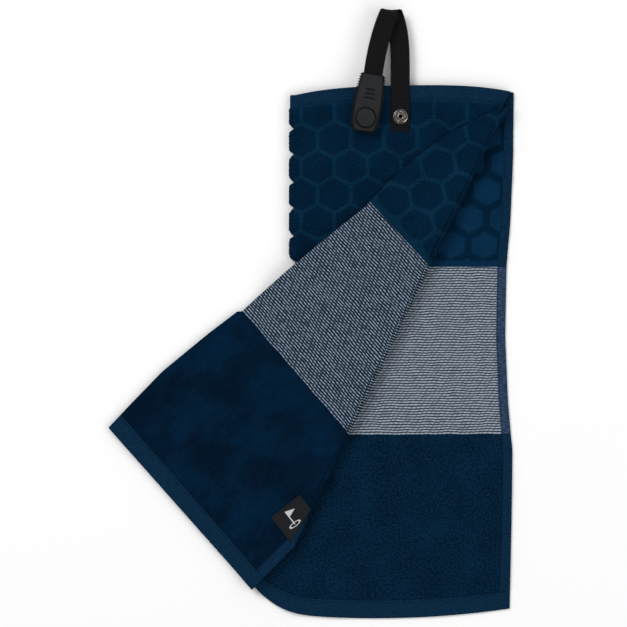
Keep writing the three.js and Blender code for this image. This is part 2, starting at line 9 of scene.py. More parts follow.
import bpy
import numpy as np
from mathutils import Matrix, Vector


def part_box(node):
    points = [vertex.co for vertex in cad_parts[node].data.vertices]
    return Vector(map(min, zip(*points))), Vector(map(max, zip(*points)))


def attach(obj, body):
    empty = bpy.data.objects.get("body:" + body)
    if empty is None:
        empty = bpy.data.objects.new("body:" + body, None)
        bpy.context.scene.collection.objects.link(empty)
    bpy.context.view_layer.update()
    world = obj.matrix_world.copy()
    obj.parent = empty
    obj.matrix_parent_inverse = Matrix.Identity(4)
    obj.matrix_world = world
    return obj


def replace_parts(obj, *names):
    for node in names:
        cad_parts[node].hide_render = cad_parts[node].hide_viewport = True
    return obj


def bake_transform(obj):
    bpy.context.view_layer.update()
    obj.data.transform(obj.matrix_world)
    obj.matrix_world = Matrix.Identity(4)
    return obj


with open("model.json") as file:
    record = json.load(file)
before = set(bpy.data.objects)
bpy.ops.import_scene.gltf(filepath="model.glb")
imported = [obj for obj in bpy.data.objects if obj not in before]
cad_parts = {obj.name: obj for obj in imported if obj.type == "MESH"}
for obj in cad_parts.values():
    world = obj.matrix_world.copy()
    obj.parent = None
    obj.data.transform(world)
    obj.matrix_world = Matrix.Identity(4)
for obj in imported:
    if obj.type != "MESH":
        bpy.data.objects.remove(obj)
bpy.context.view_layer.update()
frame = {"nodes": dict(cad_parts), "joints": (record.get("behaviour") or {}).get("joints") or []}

MM = 0.001
joints = {joint["name"]: joint for joint in frame["joints"]}
HINGE = np.array(joints["flap_fold_over"]["pos_m"])
ORIGIN = np.array([HINGE[0], HINGE[1], 0.0])


def node_box(name):
    """A CAD node's box in layout millimetres."""
    low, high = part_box(name)
    return (np.array(low) - ORIGIN) / MM, (np.array(high) - ORIGIN) / MM


def levels(name):
    """A CAD node's lowest and highest level."""
    low, high = node_box(name)
    return low[2], high[2]


def middle_level(name):
    return sum(levels(name)) / 2


def to_frame(points):
    return np.asarray(points, float) * MM + ORIGIN


# ---------- Driving sizes, in millimetres ----------

CLOTH_HALF = 0.65
HEM_HALF = 0.8
PANEL_WIDTH = 174.4
PANEL_HEIGHT = 406.0
TOP_HEM, SIDE_HEM, BOTTOM_HEM = 10.0, 7.5, 14.0
HEM_LINE = PANEL_HEIGHT - BOTTOM_HEM
HEX_END, BAND_START, BAND_END, VELOUR_START = 131.5, 136.0, 267.0, 270.5
HEX_PITCH, HEX_ROW, HEX_LINE = 26.0, 21.15, 3.3
FACE_HEX, REVERSE_HEX = (10.7, 37.2), (19.3, 34.6)
REVERSE_WIDEN = 1.7
STRIPE_PITCH, STRIPE_HEIGHT = 2.0, 0.16
CREASE = math.radians(25.8)
SLOPE = math.tan(CREASE)
FREE_EDGE = -171.3
FOLD_X = -170.8
LAYER = 2.5
REAR_MID = middle_level("rear_panel")
INNER_MID = middle_level("inner_panel") + 0.15
FRONT_MID = middle_level("front_panel")
LINING_MID = FRONT_MID + LAYER
FACE_MID = FRONT_MID + 2 * LAYER
FRONT_RAISE, FLAP_RAISE = 0.15, 0.1
CREASE_START = 3.0
TOP_FADE = 35.0
INNER_END, CREASE_END = 345.0, 354.0
SHARP_EDGES = (False,) * 4
SOFT_EDGE = 0.45
CLEARANCE = 0.02
WEB_WIDTH = 15.0
WEB_RIB = 1.6
LABEL_RIB = 0.62

crease_dir = np.array([-math.sin(CREASE), -math.cos(CREASE)])
fold_dir = np.array([-math.sin(2 * CREASE), -math.cos(2 * CREASE)])
fold_out = np.array([fold_dir[1], -fold_dir[0]])


def smooth(x, low, high):
    t = np.clip((x - low) / (high - low), 0, 1)
    return t * t * (3 - 2 * t)


def curve(x, points):
    """A smooth curve through a few [place, value] points."""
    places, values = zip(*points)
    fine = np.linspace(places[0], places[-1], 400)
    line = np.interp(fine, places, values)
    width = max(3, len(fine) // (3 * len(places)))
    kernel = np.hanning(width + 2)[1:-1]
    padded = np.concatenate([np.full(width, line[0]), line, np.full(width, line[-1])])
    line = np.convolve(padded, kernel / kernel.sum(), "same")[width:-width]
    return np.interp(x, fine, line)


def ripple(x, y, length, seed):
    """Soft low waves of about that length, between -1 and 1."""
    rng = np.random.default_rng(seed)
    total = np.zeros(np.broadcast(x, y).shape)
    for _ in range(7):
        angle, phase = rng.uniform(0, math.pi), rng.uniform(0, 2 * math.pi)
        k = 2 * math.pi / (length * rng.uniform(0.7, 1.6))
        total += np.sin(k * (x * math.cos(angle) + y * math.sin(angle)) + phase)
    return total / 5


# ---------- Outlines of the folded towel ----------

def top_edge(x):
    t = np.clip(-x / PANEL_WIDTH, 0, 1)
    return 0.8 - 3.1 * t + 6.8 * (1 - np.abs(2 * t - 1) ** 3)


def row_y(x, v):
    """The Y of a place in row v: the rows near the top follow the top edge."""
    return -v + top_edge(x) * np.exp(-v / TOP_FADE)


def right_edge(v):
    return curve(v, [(0, 0.2), (50, -0.3), (100, -2.4), (134, -5.4), (190, -6.5), (240, -4.4), (266, -2.2),
                     (280, -0.8), (336, -1.5), (406, -3.0)])


def bottom_edge(x):
    return -411.4 + 6.9e-4 * (x + 108) ** 2 + 1.05e-4 * np.maximum(0, -147 - x) ** 3


def rear_place(x, v):
    """Where a point of the rear layer lies; x is its flat place, 0 at the free side."""
    b = np.clip(-x / (PANEL_WIDTH - 3.6), 0, 1.05)
    left = FOLD_X - 31.2 * np.clip((v - 345) / 61, 0, 1) ** 0.7
    right = right_edge(v)
    place = right + (left - right) * b
    y = row_y(place, v) + (bottom_edge(place) + 406) * smooth(v, 230, 406)
    return place, y


def reflect(x, y):
    along = 2 * (x * crease_dir[0] + y * crease_dir[1])
    return along * crease_dir[0] - x, along * crease_dir[1] - y


def fold_offset(v):
    """How far the flap's long fold stands out: full beside the pile, drawn in beside the band."""
    pile = curve(v, [(0, -5), (25, 0), (60, 7), (82, 8.5), (104, 7.5), (134, 4.2), (141, 2.6)])
    band = curve(v, [(137, 2.6), (180, 2.5), (219, 1.6), (250, -0.2), (271, -1.8)])
    velour = curve(v, [(267, 0.6), (300, 1.2), (345, 0.4), (380, -4.2), (406, -8.0)])
    return np.where(v < 139, pile, band * (1 - smooth(v, 267, 271)) + velour * smooth(v, 267, 271))


def flap_sides(v):
    """The two ends of the flap's row v: at the crease or free side, and at the long fold."""
    v = np.asarray(v, float)
    crease_v = -FREE_EDGE / SLOPE
    x, y = reflect(np.maximum(-v * SLOPE, FREE_EDGE), -v)
    past = np.clip((v - crease_v) / (PANEL_HEIGHT - crease_v), 0, 1)
    near = np.stack([x + 6.9 * past, y - 2.3 * past], -1)
    slant = 5.5 * smooth(v, 20, 130)
    far = (v + slant)[..., None] * fold_dir + fold_offset(v)[..., None] * fold_out
    return near, far


def droop(x, y):
    """How far the flap has come down at a place past the left fold."""
    shift = 18 * smooth(-y, 335, 375)
    return -7.35 * smooth(-x, 175 + shift, 203 + shift)


# ---------- Pile, lines and stripes as relief ----------

def hex_lines(x, y, widen=1.0):
    """0 inside a hexagon, 1 on the line between two, for a lattice of upright hexagons."""
    row = y / HEX_ROW
    best = np.full(np.broadcast(x, y).shape, 1e9)
    tall = HEX_PITCH / math.sqrt(3) * 1.5 / HEX_ROW
    for step in (-1, 0, 1):
        k = np.round(row) + step
        shift = np.where(k % 2 == 0, 0.0, HEX_PITCH / 2)
        dx = np.abs((x - shift + HEX_PITCH / 2) % HEX_PITCH - HEX_PITCH / 2)
        dy = np.abs(y - k * HEX_ROW) * tall
        best = np.minimum(best, np.maximum(dx, dx / 2 + dy * math.sqrt(3) / 2))
    half = HEX_LINE * widen / 2
    return smooth(best, HEX_PITCH / 2 - half - 0.7, HEX_PITCH / 2 - half + 0.7)


def under_strap(u, v):
    """1 where the strap's sewn end lies on the front layer and presses the pile down."""
    across = smooth(u, -98.5, -97) * (1 - smooth(u, -81, -79.5))
    return across * smooth(v, -5, -4) * (1 - smooth(v, 29.5, 31))


def zones(v):
    """How much of each row is hexagons, the height of its stripes, and how much of it is the lower zone."""
    hexagons = smooth(v, TOP_HEM, TOP_HEM + 2.5) * (1 - smooth(v, HEX_END - 1.5, HEX_END + 0.5))
    stripes = 0.5 + 0.5 * np.cos(2 * math.pi * v / STRIPE_PITCH)
    band = smooth(v, BAND_START - 0.5, BAND_START) * (1 - smooth(v, BAND_END, BAND_END + 0.5))
    above_hem = 1 - smooth(v, HEM_LINE - 1.5, HEM_LINE + 0.5)
    lower = smooth(v, VELOUR_START - 0.5, VELOUR_START + 1.5) * above_hem
    return hexagons, STRIPE_HEIGHT * band * stripes, lower


def face_relief(u, v, rng):
    """Height of the face side over its ground, and the tone that the material mixes by."""
    lines = hex_lines(u + FACE_HEX[0], v - FACE_HEX[1] + HEX_ROW * 2)
    loops = rng.normal(size=lines.shape)
    inside, stripes, velour = zones(v)
    pile = inside * (1 - lines)
    side_hem = 1 - smooth(u, FREE_EDGE + SIDE_HEM - 0.5, FREE_EDGE + SIDE_HEM + 1.0)
    velour, pile = velour * (1 - side_hem), pile + velour * side_hem
    height = pile * (v < BAND_START) * (0.85 + 0.13 * loops) + stripes + velour * (0.75 + 0.05 * loops)
    return height * (1 - under_strap(u, v)), pile


def reverse_relief(u, v, rng):
    """The same for the reverse side, where the lines between the hexagons are the raised part."""
    lines = hex_lines(u + REVERSE_HEX[0], v - REVERSE_HEX[1] + HEX_ROW * 2, REVERSE_WIDEN)
    loops = rng.normal(size=lines.shape)
    inside, stripes, terry = zones(v)
    ridge = inside * lines
    height = ridge * (0.75 + 0.15 * loops) + stripes + terry * (0.7 + 0.2 * loops)
    return height + inside * 0.05 * loops, ridge


# ---------- Meshes ----------

def new_mesh(name, vertices, faces, material, body=None, uv=None, tone=None, flat_shaded=False):
    mesh = bpy.data.meshes.new(name)
    mesh.from_pydata(to_frame(vertices).tolist(), [], [list(map(int, f)) for f in faces])
    mesh.update()
    if uv is not None:
        layer = mesh.uv_layers.new(name="flat")
        corner = np.empty(len(mesh.loops), np.int32)
        mesh.loops.foreach_get("vertex_index", corner)
        layer.data.foreach_set("uv", (np.asarray(uv)[corner] * MM).ravel())
    if tone is not None:
        attribute = mesh.attributes.new("tone", "FLOAT", "POINT")
        attribute.data.foreach_set("value", np.asarray(tone, float).ravel())
    mesh.polygons.foreach_set("use_smooth", [not flat_shaded] * len(mesh.polygons))
    piece = bpy.data.objects.new(name, mesh)
    bpy.context.scene.collection.objects.link(piece)
    mesh.materials.append(material)
    if body:
        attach(piece, body)
    return piece


def grid_faces(rows, columns, start=0, turned=False, closed=False):
    r, c = np.meshgrid(np.arange(rows - 1), np.arange(columns if closed else columns - 1), indexing="ij")
    after = (c + 1) % columns
    here, below = r * columns, (r + 1) * columns
    quads = np.stack([here + c, here + after, below + after, below + c], -1)
    quads = quads.reshape(-1, 4) + start
    return quads[:, ::-1] if turned else quads


def surface_normals(grid):
    across = np.gradient(grid, axis=1)
    down = np.gradient(grid, axis=0)
    normal = np.cross(down, across)
    return normal / np.maximum(np.linalg.norm(normal, axis=-1, keepdims=True), 1e-9)


def cloth(name, middle, flat, material, body=None, outer=None, inner=None, tone=None, half=CLOTH_HALF,
          soft_edges=(True, True, True, True)):
    """A closed sheet round a middle surface; soft_edges are its first and last row, then column."""
    rows, columns = middle.shape[:2]
    normal = surface_normals(middle)
    thick = np.full((rows, columns), float(half))
    for index, soft in zip((np.s_[0], np.s_[-1], np.s_[:, 0], np.s_[:, -1]), soft_edges):
        if soft:
            thick[index] *= SOFT_EDGE
    outer = 0 if outer is None else outer
    inner = 0 if inner is None else inner
    fade = thick / half
    top = middle + normal * (thick + outer * fade)[..., None]
    bottom = middle - normal * (thick + inner * fade)[..., None]
    vertices = np.concatenate([top.reshape(-1, 3), bottom.reshape(-1, 3)])
    count = rows * columns
    ring = np.concatenate([np.arange(columns), np.arange(1, rows) * columns + columns - 1,
                           (rows - 1) * columns + np.arange(columns - 2, -1, -1),
                           np.arange(rows - 2, 0, -1) * columns])
    after = np.roll(ring, -1)
    walls = np.stack([ring, ring + count, after + count, after], -1)
    upper, lower = grid_faces(rows, columns, turned=True), grid_faces(rows, columns, count)
    faces = np.concatenate([upper, lower, walls[:, ::-1]])
    uv = np.concatenate([flat.reshape(-1, 2)] * 2)
    shade = None if tone is None else np.concatenate([tone.ravel(), tone.ravel()])
    return new_mesh(name, vertices, faces, material, body, uv, shade)


def lathe(profile, segments=96):
    """The rings of points that [radius, height] points make about +Z."""
    profile = np.array(profile, float)
    angles = np.linspace(0, 2 * math.pi, segments, endpoint=False)
    radius, height = profile[:, None, 0], profile[:, None, 1]
    return np.stack(np.broadcast_arrays(radius * np.cos(angles), radius * np.sin(angles), height), -1)


# ---------- Node materials ----------

class Shader:
    """Short calls for a node material."""

    def __init__(self, name):
        self.material = bpy.data.materials.new(name)
        self.material.use_nodes = True
        self.tree = self.material.node_tree
        self.main = self.tree.nodes["Principled BSDF"]

    def add(self, kind, **settings):
        node = self.tree.nodes.new(kind)
        for key, value in settings.items():
            setattr(node, key, value)
        return node

    def link(self, source, socket):
        self.tree.links.new(source, socket)

    def put(self, value, socket):
        if isinstance(value, tuple) and len(socket.default_value) == 4:
            socket.default_value = (*value, 1)
        elif isinstance(value, (int, float, tuple)):
            socket.default_value = value
        else:
            self.link(value, socket)

    def math(self, operation, a, b=0.0, c=0.0, clamp=False):
        node = self.add("ShaderNodeMath", operation=operation, use_clamp=clamp)
        for value, socket in zip((a, b, c), node.inputs):
            self.put(value, socket)
        return node.outputs[0]

    def wave(self, kind, place, period):
        """SINE or COSINE along a flat coordinate, with its period in millimetres."""
        return self.math(kind, self.math("MULTIPLY", place, 2 * math.pi / (period * MM)))

    def flat_uv(self):
        node = self.add("ShaderNodeUVMap", uv_map="flat")
        split = self.add("ShaderNodeSeparateXYZ")
        self.link(node.outputs[0], split.inputs[0])
        return split.outputs[0], split.outputs[1]

    def stretched(self, across, down):
        """The flat cloth's coordinates in millimetres, scaled."""
        node = self.add("ShaderNodeUVMap", uv_map="flat")
        scale = self.add("ShaderNodeMapping")
        scale.inputs["Scale"].default_value = (across / MM, down / MM, 1)
        self.link(node.outputs[0], scale.inputs["Vector"])
        return scale.outputs[0]

    def noise(self, vector, scale=1.0, detail=2.0, roughness=0.5):
        node = self.add("ShaderNodeTexNoise")
        node.inputs["Scale"].default_value = scale
        node.inputs["Detail"].default_value = detail
        node.inputs["Roughness"].default_value = roughness
        self.link(vector, node.inputs["Vector"])
        return node.outputs["Fac"]

    def tone(self):
        return self.add("ShaderNodeAttribute", attribute_name="tone").outputs["Fac"]

    def remap(self, value, low, high, to_low=0.0, to_high=1.0, smoothed=True):
        node = self.add("ShaderNodeMapRange", interpolation_type="SMOOTHSTEP" if smoothed else "LINEAR")
        self.link(value, node.inputs["Value"])
        for name, number in (("From Min", low), ("From Max", high), ("To Min", to_low), ("To Max", to_high)):
            node.inputs[name].default_value = number
        return node.outputs["Result"]

    def mix(self, factor, a, b):
        node = self.add("ShaderNodeMix", data_type="RGBA")
        self.put(factor, node.inputs["Factor"])
        for value, socket in ((a, node.inputs["A"]), (b, node.inputs["B"])):
            if isinstance(value, tuple):
                socket.default_value = (*value[:3], 1)
            else:
                self.link(value, socket)
        return node.outputs["Result"]

    def scaled(self, color, factor):
        node = self.add("ShaderNodeVectorMath", operation="SCALE")
        self.put(color, node.inputs[0])
        self.put(factor, node.inputs["Scale"])
        return node.outputs[0]

    def bump(self, height, strength, distance):
        node = self.add("ShaderNodeBump")
        node.inputs["Strength"].default_value = strength
        node.inputs["Distance"].default_value = distance
        self.link(height, node.inputs["Height"])
        self.link(node.outputs[0], self.main.inputs["Normal"])

    def finish(self, color, roughness=0.95, specular=0.03, metallic=0.0, sheen=0.0):
        self.put(color, self.main.inputs["Base Color"])
        self.put(roughness, self.main.inputs["Roughness"])
        self.main.inputs["Specular IOR Level"].default_value = specular
        self.main.inputs["Metallic"].default_value = metallic
        self.main.inputs["Sheen Weight"].default_value = sheen
        return self.material


def srgb(r, g, b):
    """A colour given as 0 to 255, in the linear values that shaders use."""
    return tuple((c / 255 / 12.92) if c <= 10 else ((c / 255 + 0.055) / 1.055) ** 2.4 for c in (r, g, b))


GAIN = 0.9
HAZE = 0.0008


def cloth_color(r, g, b):
    """A measured colour, less the little that the white surroundings add to it."""
    return tuple(max(c * GAIN - HAZE, 0.0006) for c in srgb(r, g, b))


def pile_material(name, ground, pile, grain=1.1, depth=0.3, contrast=0.5):
    s = Shader(name)
    loops = s.noise(s.stretched(1 / grain, 1 / grain), 1.0, 2.0, 0.6)
    drift = s.noise(s.stretched(1 / 22, 1 / 30), 1.0, 2.0)
    color = s.mix(s.tone(), ground, pile)
    factor = s.math("ADD", s.remap(loops, 0.25, 0.75, 1 - contrast, 1 + contrast),
                    s.remap(drift, 0.3, 0.7, -0.14, 0.14))
    s.bump(loops, 0.6, depth * MM)
    return s.finish(s.scaled(color, factor))


def velour_material(name):
    s = Shader(name)
    # Painted sheen: large soft lighter and darker blotches where the velour pile would catch the light.
    painted_nap_sheen = s.noise(s.stretched(1 / 30, 1 / 44), 1.0, 3.0, 0.55)
    fibres = s.noise(s.stretched(1 / 0.6, 1 / 1.4), 1.0, 2.0, 0.6)
    streaks = s.noise(s.stretched(1 / 2.5, 1 / 9.0), 1.0, 2.0, 0.5)
    color = s.mix(s.remap(painted_nap_sheen, 0.36, 0.66), cloth_color(3, 22, 40), cloth_color(4, 31, 54))
    color = s.mix(s.tone(), color, cloth_color(14, 41, 65))
    factor = s.math("ADD", s.remap(fibres, 0.25, 0.75, 0.8, 1.2), s.remap(streaks, 0.3, 0.7, -0.12, 0.12))
    s.bump(fibres, 0.35, 0.2 * MM)
    return s.finish(s.scaled(color, factor))


def hem_material(name, tint=(11, 37, 59), light=(17, 46, 70)):
    s = Shader(name)
    across, down = s.flat_uv()
    rib = s.wave("SINE", across, 1.3)
    pick = s.wave("SINE", down, 1.1)
    weave = s.math("MULTIPLY", rib, pick)
    slub = s.noise(s.stretched(1 / 3.5, 1 / 1.2), 1.0, 3.0, 0.6)
    fleck = s.math("ADD", s.remap(slub, 0.35, 0.7), s.math("MULTIPLY", weave, 0.22), clamp=True)
    s.bump(s.math("ADD", s.math("MULTIPLY", weave, 0.5), slub), 0.5, 0.25 * MM)
    return s.finish(s.mix(fleck, cloth_color(*tint), cloth_color(*light)))


def band_material(name, dark, light, fill, broken):
    """White weft lines on navy; fill is the share that the white takes, broken how unevenly it shows."""
    s = Shader(name)
    across, down = s.flat_uv()
    wander = s.noise(s.stretched(1 / 14, 1 / 14), 1.0, 1.0)
    turns = s.math("ADD", s.math("DIVIDE", down, STRIPE_PITCH * MM), s.remap(wander, 0.2, 0.8, -0.22, 0.22))
    wave = s.math("COSINE", s.math("MULTIPLY", turns, 2 * math.pi))
    line = s.remap(wave, -fill - 0.75, -fill + 0.75)
    row = s.math("FLOOR", s.math("ADD", turns, 0.5))
    place = s.add("ShaderNodeCombineXYZ")
    s.link(s.math("DIVIDE", across, 4.2 * MM), place.inputs[0])
    s.link(s.math("MULTIPLY", row, 3.7), place.inputs[1])
    uneven = s.noise(place.outputs[0], 1.0, 1.5, 0.55)
    twill = s.math("ADD", s.math("DIVIDE", across, 3.6 * MM), s.math("MULTIPLY", row, 0.36))
    slant = s.math("SINE", s.math("MULTIPLY", twill, 2 * math.pi))
    dash = s.math("ADD", s.math("MULTIPLY", slant, 0.16), uneven)
    shown = s.math("MULTIPLY", line, s.remap(dash, 0.3, 0.66, 1 - broken, 1.0))
    s.bump(s.math("ADD", wave, dash), 0.25, 0.2 * MM)
    return s.finish(s.mix(shown, dark, light))


def webbing_material(name):
    s = Shader(name)
    across, down = s.flat_uv()
    rib = s.wave("COSINE", down, WEB_RIB)
    yarn = s.wave("SINE", across, 0.9)
    fuzz = s.noise(s.stretched(1 / 0.8, 1 / 0.5), 1.0, 2.0)
    height = s.math("ADD", rib, s.math("MULTIPLY", yarn, 0.4))
    shade = s.math("ADD", s.remap(height, -1.2, 1.2, 0.35, 1.9), s.remap(fuzz, 0.3, 0.7, -0.25, 0.25))
    s.bump(height, 0.5, 0.15 * MM)
    return s.finish(s.scaled(cloth_color(15, 15, 17), shade), 0.7, 0.1)


def plastic_material(name, color, grain=0.35, roughness=0.5, specular=0.4, spread=0.18):
    s = Shader(name)
    coordinates = s.add("ShaderNodeTexCoord").outputs["Object"]
    texture = s.noise(coordinates, 1 / (grain * MM), 3.0, 0.6)
    wear = s.noise(coordinates, 1 / (9 * MM), 3.0)
    factor = s.math("ADD", s.remap(texture, 0.3, 0.7, 1 - spread, 1 + spread),
                    s.remap(wear, 0.3, 0.7, -0.1, 0.1))
    s.bump(texture, 0.2, 0.04 * MM)
    rough = s.remap(wear, 0.25, 0.75, roughness - 0.08, roughness + 0.1)
    # Where the tone attribute is high the plastic turns near black: on the grip bars this is their own black,
    # on the cap it is painted shade in its groove and on its side.
    ground = s.mix(s.tone(), cloth_color(*color), cloth_color(9, 9, 10))
    return s.finish(s.scaled(ground, factor), rough, specular)


def metal_material(name, color=(150, 143, 137), roughness=0.2):
    s = Shader(name)
    coordinates = s.add("ShaderNodeTexCoord").outputs["Object"]
    scratches = s.noise(coordinates, 1 / (0.5 * MM), 4.0, 0.7)
    tarnish = s.noise(coordinates, 1 / (2.5 * MM), 2.0)
    rough = s.remap(scratches, 0.3, 0.7, roughness - 0.08, roughness + 0.14)
    s.bump(scratches, 0.12, 0.03 * MM)
    tint = s.mix(s.remap(tarnish, 0.35, 0.7), srgb(*color), srgb(*[c * 0.72 for c in color]))
    # Painted shade: where the tone attribute is high, in the turned pieces' hollows, bore and flange under
    # the cloth, the metal is mixed to dark brown.
    return s.finish(s.mix(s.tone(), tint, srgb(34, 28, 24)), rough, 0.5, 1.0)


def thread_material(name, color):
    s = Shader(name)
    coordinates = s.add("ShaderNodeTexCoord").outputs["Object"]
    twist = s.noise(coordinates, 1 / (0.35 * MM), 2.0)
    s.bump(twist, 0.4, 0.06 * MM)
    return s.finish(s.scaled(cloth_color(*color), s.remap(twist, 0.3, 0.7, 0.7, 1.3)), 0.85, 0.03)


def label_material(name):
    s = Shader(name)
    across, down = s.flat_uv()
    rib = s.wave("SINE", down, LABEL_RIB)
    fuzz = s.noise(s.stretched(1 / 0.7, 1 / 0.4), 1.0, 2.0)
    color = s.mix(s.tone(), cloth_color(27, 28, 32), cloth_color(196, 198, 202))
    # Painted shade and light: the label is darker in the valleys between its ribs and lighter on their
    # crests; fuzz adds random tone.
    factor = s.math("ADD", s.remap(rib, -1, 1, 0.82, 1.15), s.remap(fuzz, 0.3, 0.7, -0.14, 0.14))
    s.bump(rib, 0.3, 0.08 * MM)
    return s.finish(s.scaled(color, factor), 0.75, 0.12)


PILE_FACE = pile_material("terry_face", cloth_color(9, 40, 62), cloth_color(4, 30, 51))
PILE_REVERSE = pile_material("terry_reverse_hexagons", cloth_color(10, 43, 70), cloth_color(5, 33, 54),
                             0.9, 0.2, 0.3)
TERRY_REVERSE = pile_material("terry_reverse", cloth_color(8, 33, 54), cloth_color(8, 33, 54), 1.6, 0.5, 0.6)
VELOUR = velour_material("velour_face")
HEM = hem_material("woven_hem")
HEM_TOP = hem_material("woven_top_hem", (11, 36, 58), (17, 45, 69))
BAND_FACE = band_material("band_face", cloth_color(8, 24, 41), cloth_color(150, 166, 184), -0.42, 0.72)
BAND_REVERSE = band_material("band_reverse", cloth_color(30, 43, 60), cloth_color(164, 174, 185), 0.0, 0.45)
BAND_HEM = hem_material("band_side_hem", (30, 50, 76), (62, 80, 104))
WEBBING = webbing_material("nylon_webbing")
TAB_RUBBER = plastic_material("tab_rubber", (14, 14, 15), 0.3, 0.62, 0.12)
TAB_PLATE = plastic_material("tab_plate", (33, 34, 37), 0.28, 0.6, 0.14)
CAP_PLASTIC = plastic_material("cap_plastic", (29, 32, 34), 0.28, 0.5, 0.16)
METAL = metal_material("nickel")
SPRING_STEEL = metal_material("spring_steel", (150, 150, 150), 0.3)
NAVY_THREAD = thread_material("navy_thread", (9, 33, 54))
BLACK_THREAD = thread_material("black_thread", (24, 24, 27))
LABEL = label_material("damask_label")


# ---------- Rear layer: reverse side up ----------

def settle(x, y):
    """The slight unevenness of a towel that lies on a table."""
    return 0.35 * ripple(x, y, 70, 3) + 0.18 * ripple(x, y, 24, 4)


def front_waves(x, y):
    return 0.8 * np.maximum(settle(x, y), -0.4)


def rear_height(x, y):
    corner = smooth(-x, 120, 185) * smooth(-y, 335, 385)
    folds = np.sin((x * 0.75 - y * 0.66) / 5.2 + 0.6) * corner
    return REAR_MID - 0.25 + np.maximum(settle(x, y), -0.15) + 1.6 * corner + 0.8 * folds


def rear_piece(name, v_range, x_range, grid, material, seed, edges=SHARP_EDGES,
               fine_from_crease=False):
    rows, columns = grid
    v, x = np.meshgrid(np.linspace(*v_range, rows), np.linspace(*x_range, columns), indexing="ij")
    if fine_from_crease:
        hidden = 26
        seen = np.clip(-v[:, :1] * SLOPE - 8, x_range[0] + 5, x_range[1] - 5)
        left = x_range[0] + (seen - x_range[0]) * np.linspace(0, 1, hidden, endpoint=False)
        right = seen + (x_range[1] - seen) * np.linspace(0, 1, columns - hidden)
        x = np.concatenate([left, right], 1)
    px, py = rear_place(x, v)
    middle = np.stack([px, py, rear_height(px, py)], -1)
    outer, tone = reverse_relief(x, v, np.random.default_rng(seed))
    return cloth(name, middle, np.stack([x, v], -1), material, "towel", outer, None, tone,
                 soft_edges=edges)


LEFT_X = -(PANEL_WIDTH - 3.6)
UPPER, BAND, LOWER = (TOP_HEM, BAND_START), (BAND_START, BAND_END), (BAND_END, HEM_LINE)
rear_parts = [
    rear_piece("rear_hexagons", UPPER, (LEFT_X, -SIDE_HEM), (170, 150), PILE_REVERSE, 11,
               fine_from_crease=True),
    rear_piece("rear_band", BAND, (LEFT_X, -SIDE_HEM), (264, 90), BAND_REVERSE, 12, fine_from_crease=True),
    rear_piece("rear_terry", LOWER, (LEFT_X, -SIDE_HEM), (160, 240), TERRY_REVERSE, 13),
]
rear_hem_parts = [
    rear_piece("rear_top_hem_cloth", (0, TOP_HEM), (LEFT_X, 0), (14, 120), HEM_TOP, 14,
               (True, False, True, True)),
]
side_hems = (("upper", UPPER, HEM, 15), ("band", BAND, BAND_HEM, 16), ("lower", LOWER, HEM, 17))
for label, span, material, seed in side_hems:
    rear_hem_parts.append(rear_piece("rear_side_hem_" + label, span, (-SIDE_HEM, 0), (120, 10), material,
                                     seed, (False, False, False, True)))
rear_hem_parts.append(rear_piece("rear_bottom_hem_cloth", (HEM_LINE, PANEL_HEIGHT), (LEFT_X - 2, 0),
                                 (18, 240), HEM, 18, (False, True, True, True)))
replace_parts(rear_parts[0], "rear_panel")
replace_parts(rear_hem_parts[0], "rear_top_hem")
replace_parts(rear_hem_parts[1], "rear_side_hem")
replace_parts(rear_hem_parts[4], "rear_bottom_hem")


# ---------- Middle layer ----------

def inner_piece(name, v_range, rows, columns, material, seed):
    v = np.linspace(*v_range, rows)[:, None]
    b = np.linspace(0, 1, columns)[None]
    left = FOLD_X + 2.6
    right = np.maximum(-v * SLOPE - CREASE_START, left + 1)
    x = left + (right - left) * b
    y = row_y(x, v)
    v = np.broadcast_to(v, x.shape)
    middle = np.stack([x, y, INNER_MID + 0 * x], -1)
    height, tone = face_relief(-x - PANEL_WIDTH, v, np.random.default_rng(seed))
    return cloth(name, middle, np.stack([x, v], -1), material, "towel", None, height * 0.1, tone)


inner_cloth = inner_piece("inner_pile", (TOP_HEM, INNER_END), 120, 60, PILE_FACE, 21)
inner_hem = inner_piece("inner_top_hem_cloth", (0, TOP_HEM - 0.2), 8, 60, HEM_TOP, 22)
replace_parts(inner_cloth, "inner_panel", "inner_side_hem")
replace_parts(inner_hem, "inner_top_hem")


# ---------- Front layer and the left fold ----------

FOLD_MID_RADIUS = (FRONT_MID - REAR_MID) / 2
FOLD_MID_Z = (FRONT_MID + REAR_MID) / 2


def fold_swell(v):
    """The left fold swells beside each row of hexagons and is nicked between them."""
    row = (v - FACE_HEX[1] - HEX_ROW / 2) % HEX_ROW
    nick = np.minimum(row, HEX_ROW - row)
    return -2.6 * (1 - smooth(nick, 0.5, 5.0)) * smooth(v, 12, 20) - 2.2 * smooth(v, 128, 134)


